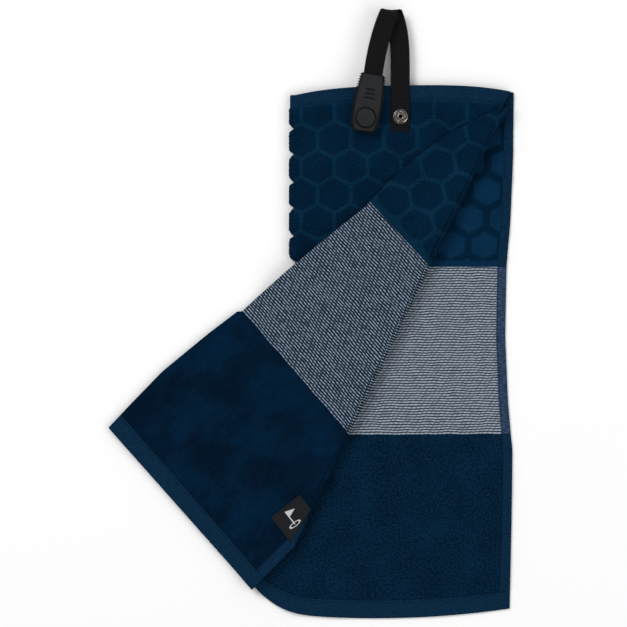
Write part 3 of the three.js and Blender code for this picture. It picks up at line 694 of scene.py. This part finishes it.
def front_piece(name, v_range, rows, columns, material, seed, edges=SHARP_EDGES):
    """From round the left fold to the crease; columns are those in sight and those under the flap."""
    v = np.linspace(*v_range, rows)[:, None]
    around = np.linspace(-math.pi, 0, 18, endpoint=False)[None] * FOLD_MID_RADIUS
    crease = -v * SLOPE - CREASE_START
    seen = np.clip(-1.262 * v + 14, FOLD_X + 3, crease - 2)
    seen = np.maximum(seen, FOLD_X + 1)
    left = FOLD_X + (seen - FOLD_X) * np.linspace(0, 1, columns[0], endpoint=False)
    right = seen + (np.maximum(crease, seen + 0.5) - seen) * np.linspace(0, 1, columns[1])
    x = np.concatenate([left, right], 1)
    flat_y = row_y(x, v)
    flat_part = np.stack([x, flat_y, FRONT_MID + FRONT_RAISE + front_waves(x, flat_y)], -1)
    angle = around / FOLD_MID_RADIUS
    roll_x = FOLD_X + FOLD_MID_RADIUS * np.sin(angle) * 1.15
    roll_z = FOLD_MID_Z + FOLD_MID_RADIUS * np.cos(angle) + FRONT_RAISE
    outwards = np.abs(np.sin(angle))
    swell = -fold_swell(v) * outwards - 0.9 * outwards * (1 - smooth(v, 124, 132))
    roll_part = np.stack(np.broadcast_arrays(roll_x + swell, row_y(FOLD_X, v), roll_z), -1)
    middle = np.concatenate([roll_part, flat_part], 1)
    flat_x = np.concatenate([FOLD_X + around + 0 * v, x], 1)
    flat_v = np.broadcast_to(v, flat_x.shape)
    outer, tone = face_relief(flat_x, flat_v, np.random.default_rng(seed))
    return cloth(name, middle, np.stack([flat_x, flat_v], -1), material, "towel", outer, None, tone,
                 soft_edges=edges)


front_cloth = front_piece("front_hexagons", UPPER, 168, (215, 24), PILE_FACE, 31)
front_band = front_piece("front_band", BAND, 264, (6, 30), BAND_FACE, 32)
front_lower = front_piece("front_velour", (BAND_END, INNER_END), 50, (6, 20), VELOUR, 33,
                          edges=(False, True, False, False))
front_hem = front_piece("front_top_hem_cloth", (0, TOP_HEM), 14, (200, 24), HEM_TOP, 34,
                        (True, False, False, False))
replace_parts(front_cloth, "front_panel", "left_fold")
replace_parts(front_hem, "front_top_hem")


# ---------- The flap: face, long fold and lining in one cloth ----------

FLAP_FOLD_RADIUS = (FACE_MID - LINING_MID) / 2


def flap_waves(x, y):
    return 0.55 * np.maximum(ripple(x, y, 60, 7) + 0.4 * ripple(x, y, 20, 8), -0.3)


def flap_lift(x, y):
    """How far the flap's face stands over its flat level."""
    return droop(x, y) + flap_waves(x, y) + FLAP_RAISE


def flap_piece(name, v_range, rows, face_columns, material, seed, edges=SHARP_EDGES,
               half=CLOTH_HALF, limit=None):
    v = np.linspace(*v_range, rows)[:, None]
    near, far = flap_sides(v[:, 0])
    row = far - near
    length = np.linalg.norm(row, axis=-1, keepdims=True)
    row = row / length
    start = near + row * CREASE_START / math.cos(CREASE)
    if limit is not None:
        start = near + row * np.maximum(0.4, CREASE_START * (1 - smooth(v, 350, 356)))
    end = far - row * (FLAP_FOLD_RADIUS + half)
    b = np.linspace(0, 1, face_columns)[None, :, None]
    face = start[:, None] + (end - start)[:, None] * b
    turn = np.linspace(math.pi / 2, -math.pi / 2, 14)[None, 1:-1, None]
    roll = end[:, None] + row[:, None] * FLAP_FOLD_RADIUS * np.cos(turn)
    lining_columns = max(8, face_columns // 6)
    back = np.linspace(1, 0, lining_columns)[None, :, None]
    lining = start[:, None] + (end - start)[:, None] * back
    place = np.concatenate([face, roll, lining], 1)
    centre_z = (FACE_MID + LINING_MID) / 2
    roll_z = centre_z + FLAP_FOLD_RADIUS * np.sin(turn[0, :, 0])
    heights = [np.full(face_columns, FACE_MID), roll_z, np.full(lining_columns, LINING_MID)]
    heights = np.concatenate(heights)[None]
    x, y = place[..., 0], place[..., 1]
    weight = (heights - LINING_MID) / (FACE_MID - LINING_MID)
    z = heights + droop(x, y) + flap_waves(x, y) * weight + FLAP_RAISE
    middle = np.concatenate([place, z[..., None]], -1)
    span = np.linalg.norm(end - start, axis=-1, keepdims=True)
    first = -v * SLOPE if limit is None else np.maximum(-v * SLOPE, limit)
    turn_length = FLAP_FOLD_RADIUS * (math.pi / 2 - turn[0, :, 0])[None]
    face_u = first + span * np.linspace(0, 1, face_columns)[None]
    roll_u = first + span + turn_length
    lining_u = first + span + FLAP_FOLD_RADIUS * math.pi + span * np.linspace(0, 1, lining_columns)[None]
    flat_x = np.concatenate([face_u, roll_u, lining_u], 1)
    flat_v = np.broadcast_to(v, flat_x.shape)
    outer, tone = face_relief(flat_x, flat_v, np.random.default_rng(seed))
    return cloth(name, middle, np.stack([flat_x, flat_v], -1), material, "flap", outer, None, tone,
                 half, edges)


flap_parts = [
    flap_piece("flap_hexagons", UPPER, 168, 96, PILE_FACE, 41),
    flap_piece("flap_band", BAND, 264, 60, BAND_FACE, 42),
    flap_piece("flap_velour", LOWER, 150, 210, VELOUR, 43, limit=FREE_EDGE),
]
flap_hem = flap_piece("flap_bottom_hem_cloth", (HEM_LINE, PANEL_HEIGHT), 18, 200, HEM, 44,
                      (False, True, False, False), HEM_HALF, FREE_EDGE)
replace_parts(flap_parts[0], "flap_face", "flap_lining", "flap_fold")
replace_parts(flap_hem, "flap_bottom_hem", "flap_lining_hem", "flap_side_hem")


# ---------- The diagonal crease: half turns of cloth between the towel and the flap ---

def crease_strip(name, v_range, rows, bottom_z, top_z, reach, material, seed, shown):
    """Half a turn of cloth from bottom_z up to top_z; shown is 1 where its relief is in sight, else 0."""
    v = np.linspace(*v_range, rows)[:, None]
    along = v / math.cos(CREASE)
    turn = np.linspace(math.pi / 2, -math.pi / 2, 18)[None]
    left = np.array([crease_dir[1], -crease_dir[0]])
    aside = CREASE_START - reach * np.cos(turn)
    x = along * crease_dir[0] + aside * left[0]
    y = along * crease_dir[1] + aside * left[1]
    middle_z, radius = (top_z + bottom_z) / 2, (top_z - bottom_z) / 2
    z = middle_z + radius * np.sin(turn) + FLAP_RAISE
    middle = np.stack(np.broadcast_arrays(x, y, z), -1)
    flat_x = np.broadcast_to(-v * SLOPE + (turn - math.pi / 2) * radius, x.shape)
    flat_v = np.broadcast_to(v, x.shape)
    outer, tone = face_relief(flat_x, flat_v, np.random.default_rng(seed))
    piece = cloth(name, middle, np.stack([flat_x, flat_v], -1), material, None, outer * shown,
                  None, tone, soft_edges=(True, True, False, False))
    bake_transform(piece)
    return piece


crease_parts = []
for label, span, rows, material in (("hexagons", UPPER, 168, PILE_FACE), ("band", BAND, 264, BAND_FACE),
                                    ("velour", (BAND_END, CREASE_END), 100, VELOUR)):
    crease_parts += [
        crease_strip("crease_outer_" + label, span, rows, INNER_MID, FACE_MID, 2.2, material, 51, 1.0),
        crease_strip("crease_inner_" + label, span, rows // 3, FRONT_MID + FRONT_RAISE, LINING_MID, 1.1,
                     material, 52, 0.0),
    ]


# ---------- Sewing ----------

def stitches(name, path, material, body, pitch=3.0, length=2.2, width=0.55, height=0.28):
    """Single stitches along a path of points on the cloth."""
    path = np.asarray(path, float)
    steps = np.concatenate([[0], np.cumsum(np.linalg.norm(np.diff(path, axis=0), axis=1))])
    centres = np.arange(pitch / 2, steps[-1], pitch)
    vertices, faces = [], []
    bend = np.linspace(0, math.pi, 7)[1:-1]
    circle = np.linspace(0, 2 * math.pi, 8, endpoint=False)
    for centre in centres:
        at = np.array([np.interp(centre, steps, path[:, k]) for k in range(3)])
        ahead = np.array([np.interp(centre + 0.5, steps, path[:, k]) for k in range(3)]) - at
        if np.linalg.norm(ahead) < 1e-6:
            continue
        ahead = ahead / np.linalg.norm(ahead)
        side = np.cross([0, 0, 1], ahead)
        up = np.cross(ahead, side)
        start = len(vertices)
        vertices.append(at - ahead * length / 2)
        for b in bend:
            for a in circle:
                offset = side * math.cos(a) * width / 2 + up * math.sin(a) * height
                vertices.append(at - ahead * math.cos(b) * length / 2 + offset * math.sin(b))
        vertices.append(at + ahead * length / 2)
        last = len(vertices) - 1
        count = len(circle)
        for k in range(count):
            after = (k + 1) % count
            faces.append([start, start + 1 + after, start + 1 + k])
            for ring in range(len(bend) - 1):
                a, b = start + 1 + ring * count, start + 1 + (ring + 1) * count
                faces.append([a + k, a + after, b + after, b + k])
            end = start + 1 + (len(bend) - 1) * count
            faces.append([last, end + k, end + after])
    return new_mesh(name, np.array(vertices), faces, material, body)


def along(points, surface):
    """Points on a surface above [x, y] places."""
    x, y = np.array(points, float).T
    return np.stack([x, y, surface(x, y)], -1)


def rear_top(x, y):
    return rear_height(x, y) + CLOTH_HALF + CLEARANCE


seam_x = np.linspace(-169, -16, 60)
seam_v = np.full(60, TOP_HEM - 1.2)
seam = np.stack([seam_x, row_y(seam_x, seam_v)], -1)
front_top = along(seam, lambda x, y: FRONT_MID + FRONT_RAISE + CLEARANCE + front_waves(x, y) + CLOTH_HALF)
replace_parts(stitches("top_seam", front_top, NAVY_THREAD, "towel"), "top_seam_thread")
hem_x = np.linspace(LEFT_X + 4, -10, 80)
hem_at = np.stack(rear_place(hem_x, np.full(80, HEM_LINE + 1.8)), -1)
bottom_seam = along(hem_at, rear_top)
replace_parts(stitches("rear_bottom_hem_stitches", bottom_seam, NAVY_THREAD, "towel"),
            "rear_bottom_hem_thread")
side_v = np.linspace(14, 386, 120)
side_at = np.stack(rear_place(np.full(120, -SIDE_HEM + 0.9), side_v), -1)
side_seam = along(side_at, rear_top)
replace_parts(stitches("rear_side_hem_stitches", side_seam, NAVY_THREAD, "towel"),
            "rear_side_hem_thread")
near, far = flap_sides(np.array([HEM_LINE + 1.8]))
hem_line = near[0] + (far[0] - near[0]) * np.linspace(0.05, 0.975, 50)[:, None]
flap_seam = along(hem_line, lambda x, y: FACE_MID + flap_lift(x, y) + HEM_HALF + CLEARANCE)
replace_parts(stitches("flap_hem_stitches", flap_seam, NAVY_THREAD, "flap"), "flap_hem_thread")


# ---------- Woven label round the free edge of the flap ----------

def flag_icon(a, b):
    """A plain golf flag with its pole and hole."""
    pole = (np.abs(a + 2.6) < 0.42) & (np.abs(b) < 6.2)
    pennant = (a > -2.6) & (b < 6.2 - (a + 2.6) * 0.36) & (b > 0.8 + (a + 2.6) * 0.36)
    ring = np.hypot((a + 2.6) / 4.6, (b + 6.2) / 1.5)
    return (pole | pennant | (np.abs(ring - 1) < 0.17)).astype(float)


LABEL_LENGTH, LABEL_NARROW, LABEL_FLARE = 28.5, 14.5, 10.5
LABEL_CORNER = np.array([-167.6, -313.9])
v = np.linspace(0, LABEL_LENGTH, 96)[:, None]
b = np.linspace(0, 1, 90)[None]
u = (LABEL_NARROW + LABEL_FLARE * v / LABEL_LENGTH) * b
place = LABEL_CORNER + v[..., None] * fold_dir - u[..., None] * fold_out
x, y = place[..., 0], place[..., 1]
wrap = smooth(b, 0.93, 1.0) + 0 * v
z = FACE_MID + flap_lift(x, y) + CLOTH_HALF + 0.95 - 0.9 * wrap
label_middle = np.concatenate([place, z[..., None]], -1)
label_flat = np.stack([u, v + 0 * u], -1)
icon = flag_icon(14.5 - (v + 0 * u), 9.5 - u)
label = cloth("woven_label_cloth", label_middle, label_flat, LABEL, "flap",
              0.05 * np.cos(2 * math.pi * v / LABEL_RIB) + 0.12 * icon, None, icon, 0.25)
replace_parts(label, "woven_label")
label_way = np.linspace(1.2, LABEL_LENGTH - 1.2, 30)[:, None]
label_edge = LABEL_CORNER + label_way * fold_dir - 1.3 * fold_out
label_seam = along(label_edge, lambda x, y: FACE_MID + flap_lift(x, y) + CLOTH_HALF + 1.2)
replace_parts(stitches("label_stitches", label_seam, BLACK_THREAD, "flap", 2.2, 1.6, 0.4, 0.2),
            "label_thread")


# ---------- Webbing ----------

WEB_HALF = 0.52
ANCHOR_MID = middle_level("strap_anchor_leg")
LEG_MID = middle_level("strap_free_leg")
ANCHOR_START = np.array([-89.0, -29.7])
ANCHOR_STRAIGHT, ANCHOR_ARC, LEG_LENGTH, TUCK_LENGTH = 47.7, 44.0, 46.0, 20
ANCHOR_TURN, LEG_HEADING, LEG_TURN, TAB_HEADING = np.radians([20.9, 155, 17, 170.3])
LOOP_MID = (ANCHOR_MID + LEG_MID) / 2
LOOP_RADIUS = (LEG_MID - ANCHOR_MID) / 2


def heading(angle):
    return np.stack([-np.sin(angle), np.cos(angle)], -1)


def path_along(start, angles, step):
    """Points of a path that starts somewhere and turns through the given headings."""
    moves = heading((angles[1:] + angles[:-1]) / 2) * step
    return np.concatenate([[start], start + np.cumsum(moves, axis=0)])


def webbing(name, centres, sides, distance, narrow=0.0, body=None, ragged=False):
    across = np.linspace(-1, 1, 23)[None, :, None]
    rib = np.cos(2 * math.pi * distance / WEB_RIB)[:, None]
    half = WEB_WIDTH / 2 - narrow + 0.25 * rib[:, 0]
    middle = centres[:, None] + sides[:, None] * across * half[:, None, None]
    rng = np.random.default_rng(61)
    if ragged:
        middle[0, :, 1] -= rng.uniform(0, 0.5, middle.shape[1])
    flat = np.stack(np.broadcast_arrays(across[..., 0] * WEB_WIDTH / 2, distance[:, None]), -1)
    yarns = 0.03 * np.cos(across[..., 0] * math.pi * 7)
    relief = 0.14 * rib + yarns + rng.normal(size=flat.shape[:2]) * 0.012
    return cloth(name, middle, flat, WEBBING, body, relief, relief, None, WEB_HALF,
                 (ragged, False, True, True))


STEP = 0.2
straight = np.stack([0 * np.arange(0, ANCHOR_STRAIGHT, STEP) + ANCHOR_START[0],
                     ANCHOR_START[1] + np.arange(0, ANCHOR_STRAIGHT, STEP)], -1)
arc_angles = ANCHOR_TURN * np.linspace(0, 1, int(ANCHOR_ARC / STEP) + 1) ** 2
arc = path_along(ANCHOR_START + [0, ANCHOR_STRAIGHT], arc_angles, STEP)
points = np.concatenate([straight, arc])
angles = np.concatenate([np.zeros(len(straight)), arc_angles])
centres = np.concatenate([points, np.full((len(points), 1), ANCHOR_MID)], 1)
lefts = np.stack([-np.cos(angles), -np.sin(angles), 0 * angles], -1)
distance = np.arange(len(points)) * STEP
anchor = webbing("strap_anchor_webbing", centres, lefts, distance, ragged=True)
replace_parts(anchor, "strap_anchor_leg")
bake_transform(anchor)

loop_axis = heading(ANCHOR_TURN) + heading(LEG_HEADING)
loop_axis = loop_axis / np.linalg.norm(loop_axis)
loop_normal = np.array([loop_axis[1], -loop_axis[0]])
lean = math.asin(heading(ANCHOR_TURN) @ loop_axis)
shift = LOOP_RADIUS * math.tan(lean)
turn = np.linspace(-math.pi / 2, math.pi / 2, 48)
flat_centre = points[-1] + loop_axis * shift * (turn[:, None] + math.pi / 2)
flat_centre = flat_centre + loop_normal * LOOP_RADIUS * np.cos(turn)[:, None]
centres = np.concatenate([flat_centre, (LOOP_MID + LOOP_RADIUS * np.sin(turn))[:, None]], 1)
ups = np.stack([loop_normal[0] * np.cos(turn), loop_normal[1] * np.cos(turn), np.sin(turn)], -1)
circleway = np.stack([-loop_normal[0] * np.sin(turn), -loop_normal[1] * np.sin(turn), np.cos(turn)], -1)
ways = circleway * math.cos(lean) + np.append(loop_axis, 0) * math.sin(lean)
sides = np.cross(ways, ups)
sides = sides * np.sign(sides[0] @ lefts[-1])
loop_distance = distance[-1] + (turn + math.pi / 2) * LOOP_RADIUS / math.cos(lean)
loop = webbing("strap_loop_webbing", centres, sides, loop_distance, 2.0 * np.cos(turn) ** 2)
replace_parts(loop, "strap_loop")
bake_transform(loop)

leg_angles = LEG_HEADING + LEG_TURN * np.linspace(0, 1, int(LEG_LENGTH / STEP) + 1) ** 0.7
leg = path_along(flat_centre[-1], leg_angles, STEP)
tuck = leg[-1] + heading(TAB_HEADING) * np.arange(STEP, TUCK_LENGTH, STEP)[:, None]
points = np.concatenate([leg, tuck])
angles = np.concatenate([leg_angles, np.full(len(tuck), TAB_HEADING)])
centres = np.concatenate([points, np.full((len(points), 1), LEG_MID)], 1)
sides = np.stack([-np.cos(angles), -np.sin(angles), 0 * angles], -1)
free_leg = webbing("strap_free_webbing", centres, sides, loop_distance[-1] + np.arange(len(points)) * STEP,
                   body="strap_end")
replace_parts(free_leg, "strap_free_leg")
tack_line = along([[-95.5, -4.0], [-82.5, -4.0]], lambda x, y: ANCHOR_MID + WEB_HALF + 0.12 + 0 * x)
tack = stitches("strap_tack_stitches", tack_line, BLACK_THREAD, "towel", 1.9, 1.5, 0.5, 0.2)
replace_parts(tack, "strap_tack_thread")


# ---------- Pull tab, cap and snap ----------

CAP_TO_END, TAB_LENGTH, TAB_TOP_WIDTH, TAB_WIDTH = 11.2, 46.0, 17.6, 21.6
cap_centre = (node_box("snap_cap")[0] + node_box("snap_cap")[1])[:2] / 2
TAB_LOW, TAB_HIGH = levels("tab_body")
PLATE_LOW, PLATE_HIGH = levels("tab_plate")
CAP_LOW, CAP_HIGH = levels("snap_cap")
RIB_PITCH, RIB_DEPTH = 2.05, 1.15


def on_tab(points):
    """From the tab's own frame, with its origin under the cap and +Y towards the webbing."""
    points = np.asarray(points, float)
    turned = TAB_HEADING - math.pi
    x = points[..., 0] * math.cos(turned) - points[..., 1] * math.sin(turned)
    y = points[..., 0] * math.sin(turned) + points[..., 1] * math.cos(turned)
    return np.stack([x + cap_centre[0], y + cap_centre[1], points[..., 2]], -1)


def bezier(*corners):
    t = np.linspace(0, 1, 40, endpoint=False)[:, None]
    corners = [np.array(c, float) for c in corners]
    while len(corners) > 1:
        corners = [a + (b - a) * t for a, b in zip(corners, corners[1:])]
    return corners[0]


def even(outline, step):
    """The same closed outline with evenly spaced points."""
    closed = np.concatenate([outline, outline[:1]])
    reach = np.concatenate([[0], np.cumsum(np.linalg.norm(np.diff(closed, axis=0), axis=1))])
    places = np.linspace(0, reach[-1], int(reach[-1] / step), endpoint=False)
    return np.stack([np.interp(places, reach, closed[:, k]) for k in range(2)], -1)


def tab_outline(inset, step=0.2):
    top, bottom, half = TAB_LENGTH - CAP_TO_END - inset, inset - CAP_TO_END, TAB_WIDTH / 2 - inset
    left = np.concatenate([
        bezier((-TAB_TOP_WIDTH / 2 + inset, top), (-half + 1.2, top - 8), (-half, top - 14), (-half, 6)),
        bezier((-half, 6), (-half, -2), (-half + 1, bottom + 5), (-half + 1.4, bottom + 3)),
        bezier((-half + 1.4, bottom + 3), (-half + 2, bottom), (-half + 5, bottom)), [(-half + 5, bottom)]])
    outline = even(np.concatenate([left, left[::-1] * [-1, 1]]), step)
    corner = int(0.9 / step)
    for _ in range(2):
        outline = sum(np.roll(outline, k, axis=0) for k in range(-corner, corner + 1)) / (2 * corner + 1)
    return outline


def outward(outline):
    ahead = np.roll(outline, -1, axis=0) - np.roll(outline, 1, axis=0)
    return np.stack([ahead[:, 1], -ahead[:, 0]], -1) / np.linalg.norm(ahead, axis=1, keepdims=True)


def slab(outline, rings, ribs=None):
    """Vertices and faces of a plate with an edge of [inset, height] rings, from its bottom up."""
    normal = outward(outline)
    ribs = np.zeros(len(outline)) if ribs is None else ribs
    layers = []
    for inset, height in rings:
        shape = outline - normal * (inset - ribs * max(0.0, 1 - 2 * inset))[:, None]
        layers.append(np.concatenate([shape, np.full((len(shape), 1), height)], 1))
    count = len(outline)
    centre = outline.mean(0)
    vertices = np.concatenate(layers + [[[*centre, rings[0][1]], [*centre, rings[-1][1]]]])
    faces = grid_faces(len(rings), count, closed=True).tolist()
    low, high, last = len(rings) * count, len(rings) * count + 1, (len(rings) - 1) * count
    for k in range(count):
        after = (k + 1) % count
        faces.append([low, after, k])
        faces.append([high, last + k, last + after])
    return vertices, faces


def joined(shapes):
    """One mesh from several [vertices, faces, tone] shapes."""
    vertices, faces, shade_tones = [], [], []
    for shape, shape_faces, tone in shapes:
        faces += [[index + len(vertices) for index in face] for face in shape_faces]
        vertices += np.asarray(shape).tolist()
        shade_tones += np.broadcast_to(tone, len(shape)).tolist()
    return np.array(vertices), faces, np.array(shade_tones)


outline = tab_outline(0)
sides_of_tab = np.abs(outward(outline)[:, 0]) > 0.75
ridged = sides_of_tab * smooth(outline[:, 1], -9, -6) * (1 - smooth(outline[:, 1], 33, 34))
ribs = RIB_DEPTH * ridged * (0.5 + 0.5 * np.tanh(3 * np.sin(2 * math.pi * outline[:, 1] / RIB_PITCH)))
shape, faces = slab(outline, [(1.4, TAB_LOW), (0.9, TAB_LOW), (0.25, TAB_LOW + 0.25), (0, TAB_LOW + 0.7),
                              (0, TAB_HIGH - 0.6), (0.25, TAB_HIGH - 0.15), (0.8, TAB_HIGH), (1.4, TAB_HIGH)],
                    ribs)
tab = new_mesh("tab_ridged_body", on_tab(shape), faces, TAB_RUBBER, "strap_end",
               flat_shaded=True)
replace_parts(tab, "tab_body")

PLATE_EDGE = [(0.3, PLATE_LOW), (0, PLATE_LOW + 0.2), (0, PLATE_HIGH - 0.35), (0.15, PLATE_HIGH - 0.1),
              (0.45, PLATE_HIGH), (1.0, PLATE_HIGH)]
plate_shapes = [(*slab(tab_outline(1.15), PLATE_EDGE), 0.0)]
for height, width in ((15.5, 9.4), (18.9, 8.4), (22.3, 7.4)):
    t = np.linspace(0, 2 * math.pi, 48, endpoint=False)
    bar = np.stack([np.sign(np.cos(t)) * np.abs(np.cos(t)) ** 0.35 * width / 2,
                    height + np.sign(np.sin(t)) * np.abs(np.sin(t)) ** 0.6 * 0.75], -1)
    bar_edge = [(0, PLATE_HIGH - 0.3), (0, PLATE_HIGH + 0.12), (0.15, PLATE_HIGH + 0.28)]
    plate_shapes.append((*slab(bar, bar_edge), 1.0))
shape, faces, tone = joined(plate_shapes)
plate = new_mesh("tab_grip_plate", on_tab(shape), faces, TAB_PLATE, "strap_end", tone=tone,
                 flat_shaded=True)
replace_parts(plate, "tab_plate")


def turned(name, profile, material, slot, body, place, shade_tones=None, lobes=None, segments=120):
    """A turned piece, solid if its profile starts at the axis; lobes lifts its points, and the tones per
    profile point paint shade into its hollows.
    """
    rings = lathe(profile, segments)
    if lobes is not None:
        angle = np.linspace(0, 2 * math.pi, segments, endpoint=False)[None]
        rings[..., 2] += lobes(np.sqrt(rings[..., 0] ** 2 + rings[..., 1] ** 2), angle)
    faces = grid_faces(len(profile), segments, closed=True, turned=True).tolist()
    last = (len(profile) - 1) * segments
    if profile[0][0] < 0.1:
        faces += [list(range(segments)), list(range(last, last + segments))[::-1]]
    else:
        faces += [[last + k, last + (k + 1) % segments, (k + 1) % segments, k][::-1] for k in range(segments)]
    tone = None if shade_tones is None else np.repeat(np.array(shade_tones, float), segments)
    return new_mesh(name, place(rings.reshape(-1, 3)), faces, material, body, tone=tone)


cap_profile = [(0.02, CAP_LOW), (7.9, CAP_LOW), (8.2, CAP_LOW + 0.25), (8.25, CAP_HIGH - 0.5),
               (8.12, CAP_HIGH - 0.3), (7.98, CAP_HIGH - 0.35), (7.85, CAP_HIGH - 0.9),
               (7.2, CAP_HIGH - 0.9), (7.1, CAP_HIGH - 0.25), (6.85, CAP_HIGH - 0.04), (6.4, CAP_HIGH),
               (3.0, CAP_HIGH), (0.02, CAP_HIGH)]
# Painted shade: the cap is darker on its side and darkest in the groove round its top.
cap_shade_tones = [0, 0, 0.6, 0.8, 0.8, 0.9, 1, 1, 0.8, 0, 0, 0, 0]
cap = turned("snap_cap_disc", cap_profile, CAP_PLASTIC, "cap_plastic", "strap_end", on_tab, cap_shade_tones)
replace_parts(cap, "snap_cap")

stud_low, stud_high = node_box("snap_stud")
stud_centre = (stud_low[:2] + stud_high[:2]) / 2


def on_stud(points):
    return np.asarray(points, float) + [*stud_centre, 0]


def petals(radius, angle):
    """The stud's raised petals, of which one is worn low."""
    worn = np.where(np.sin(angle + 0.9) > -0.95, 1, 0.3)
    lobe = np.maximum(0, np.cos(4.5 * angle + 0.4)) ** 0.6 * worn
    return 0.55 * lobe * smooth(radius, 2.7, 3.2) * (1 - smooth(radius, 4.3, 4.9))


base = stud_low[2]
stud_profile = [(2.25, base), (5.4, base), (5.72, base + 0.2), (5.7, base + 0.55), (5.45, base + 0.8),
                (5.1, base + 0.75), (4.85, base + 0.35), (4.4, base + 0.4), (3.8, base + 0.55),
                (3.2, base + 0.4), (2.8, base + 0.5), (2.7, base + 1.0), (2.8, stud_high[2] - 0.5),
                (2.62, stud_high[2] - 0.1), (2.25, stud_high[2])]
# Painted shade: the stud is darkest in the dish inside its rim and at the foot of its centre.
stud_shade_tones = [0, 0, 0, 0, 0, 0.3, 1, 0.6, 0.1, 0.5, 0.9, 0.7, 0.1, 0, 0]
stud = turned("snap_stud_ring", stud_profile, METAL, "snap_metal", "towel", on_stud, stud_shade_tones, petals, 144)
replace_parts(stud, "snap_stud")


def roll_slits(radius, angle):
    return -0.3 * np.maximum(0, np.cos(6 * angle)) ** 6 * smooth(radius, 1.8, 2.5)


low, high = levels("snap_eyelet")
eyelet_profile = [(1.5, low), (5.4, low), (5.5, low + 0.3), (5.4, low + 0.6), (2.0, low + 0.6),
                  (2.0, high - 0.3), (2.55, high - 0.33), (2.62, high - 0.15), (2.4, high), (1.9, high),
                  (1.6, high - 0.15), (1.5, high - 0.5)]
# Painted shade: the eyelet is dark on its flange and shank under the cloth and down its bore.
eyelet_shade_tones = [1, 1, 1, 1, 1, 1, 0.4, 0, 0, 0, 0.5, 1]
eyelet = turned("snap_rolled_eyelet", eyelet_profile, METAL, "snap_metal", "towel", on_stud, eyelet_shade_tones,
                roll_slits, 144)
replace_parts(eyelet, "snap_eyelet")

for node, material in (("cap_rivet", METAL), ("snap_socket", METAL), ("socket_spring", SPRING_STEEL)):
    piece = frame["nodes"][node]
    piece.data.materials.clear()
    piece.data.materials.append(material)


# ---------- Floor, light and camera ----------

VIEW_CENTRE, VIEW_WIDTH = [-156.8, -172.4, 8], 490.3
CAMERA_HEIGHT = 2.6


def soft_light(name, place, aim, size, power):
    light = bpy.data.lights.new(name, "AREA")
    light.shape = "DISK"
    light.size = size
    light.energy = power
    lamp = bpy.data.objects.new(name, light)
    bpy.context.scene.collection.objects.link(lamp)
    lamp.location = place
    direction = np.array(aim, float) - np.array(place, float)
    yaw = math.atan2(direction[1], direction[0])
    pitch = math.atan2(-direction[2], math.hypot(direction[0], direction[1]))
    lamp.rotation_euler = (math.pi / 2 - pitch, 0, yaw - math.pi / 2)


def add_stage():
    bpy.ops.mesh.primitive_plane_add(size=30, location=(0, 0, -0.0002))
    floor = bpy.context.object
    floor.name = "floor"
    s = Shader("floor")
    floor.data.materials.append(s.finish((0.9, 0.9, 0.9), 0.9, 0.05))
    soft_light("key", (-1.1, 1.2, 1.7), (0, 0, 0), 1.1, 26)
    soft_light("fill", (1.6, -0.6, 1.5), (0, 0, 0), 1.6, 12)
    world = bpy.data.worlds.new("studio")
    world.use_nodes = True
    world.node_tree.nodes["Background"].inputs["Color"].default_value = (1, 1, 1, 1)
    world.node_tree.nodes["Background"].inputs["Strength"].default_value = 0.66
    scene = bpy.context.scene
    scene.world = world
    scene.view_settings.view_transform = "Standard"
    scene.view_settings.look = "None"

    camera_data = bpy.data.cameras.new("camera")
    camera = bpy.data.objects.new("camera", camera_data)
    scene.collection.objects.link(camera)
    aim = to_frame(VIEW_CENTRE)
    camera.location = (aim[0], aim[1], aim[2] + CAMERA_HEIGHT)
    camera.rotation_euler = (0, 0, 0)
    camera_data.sensor_width = 36
    camera_data.lens = camera_data.sensor_width * CAMERA_HEIGHT / (VIEW_WIDTH * MM)
    camera_data.clip_end = 50
    scene.camera = camera


add_stage()
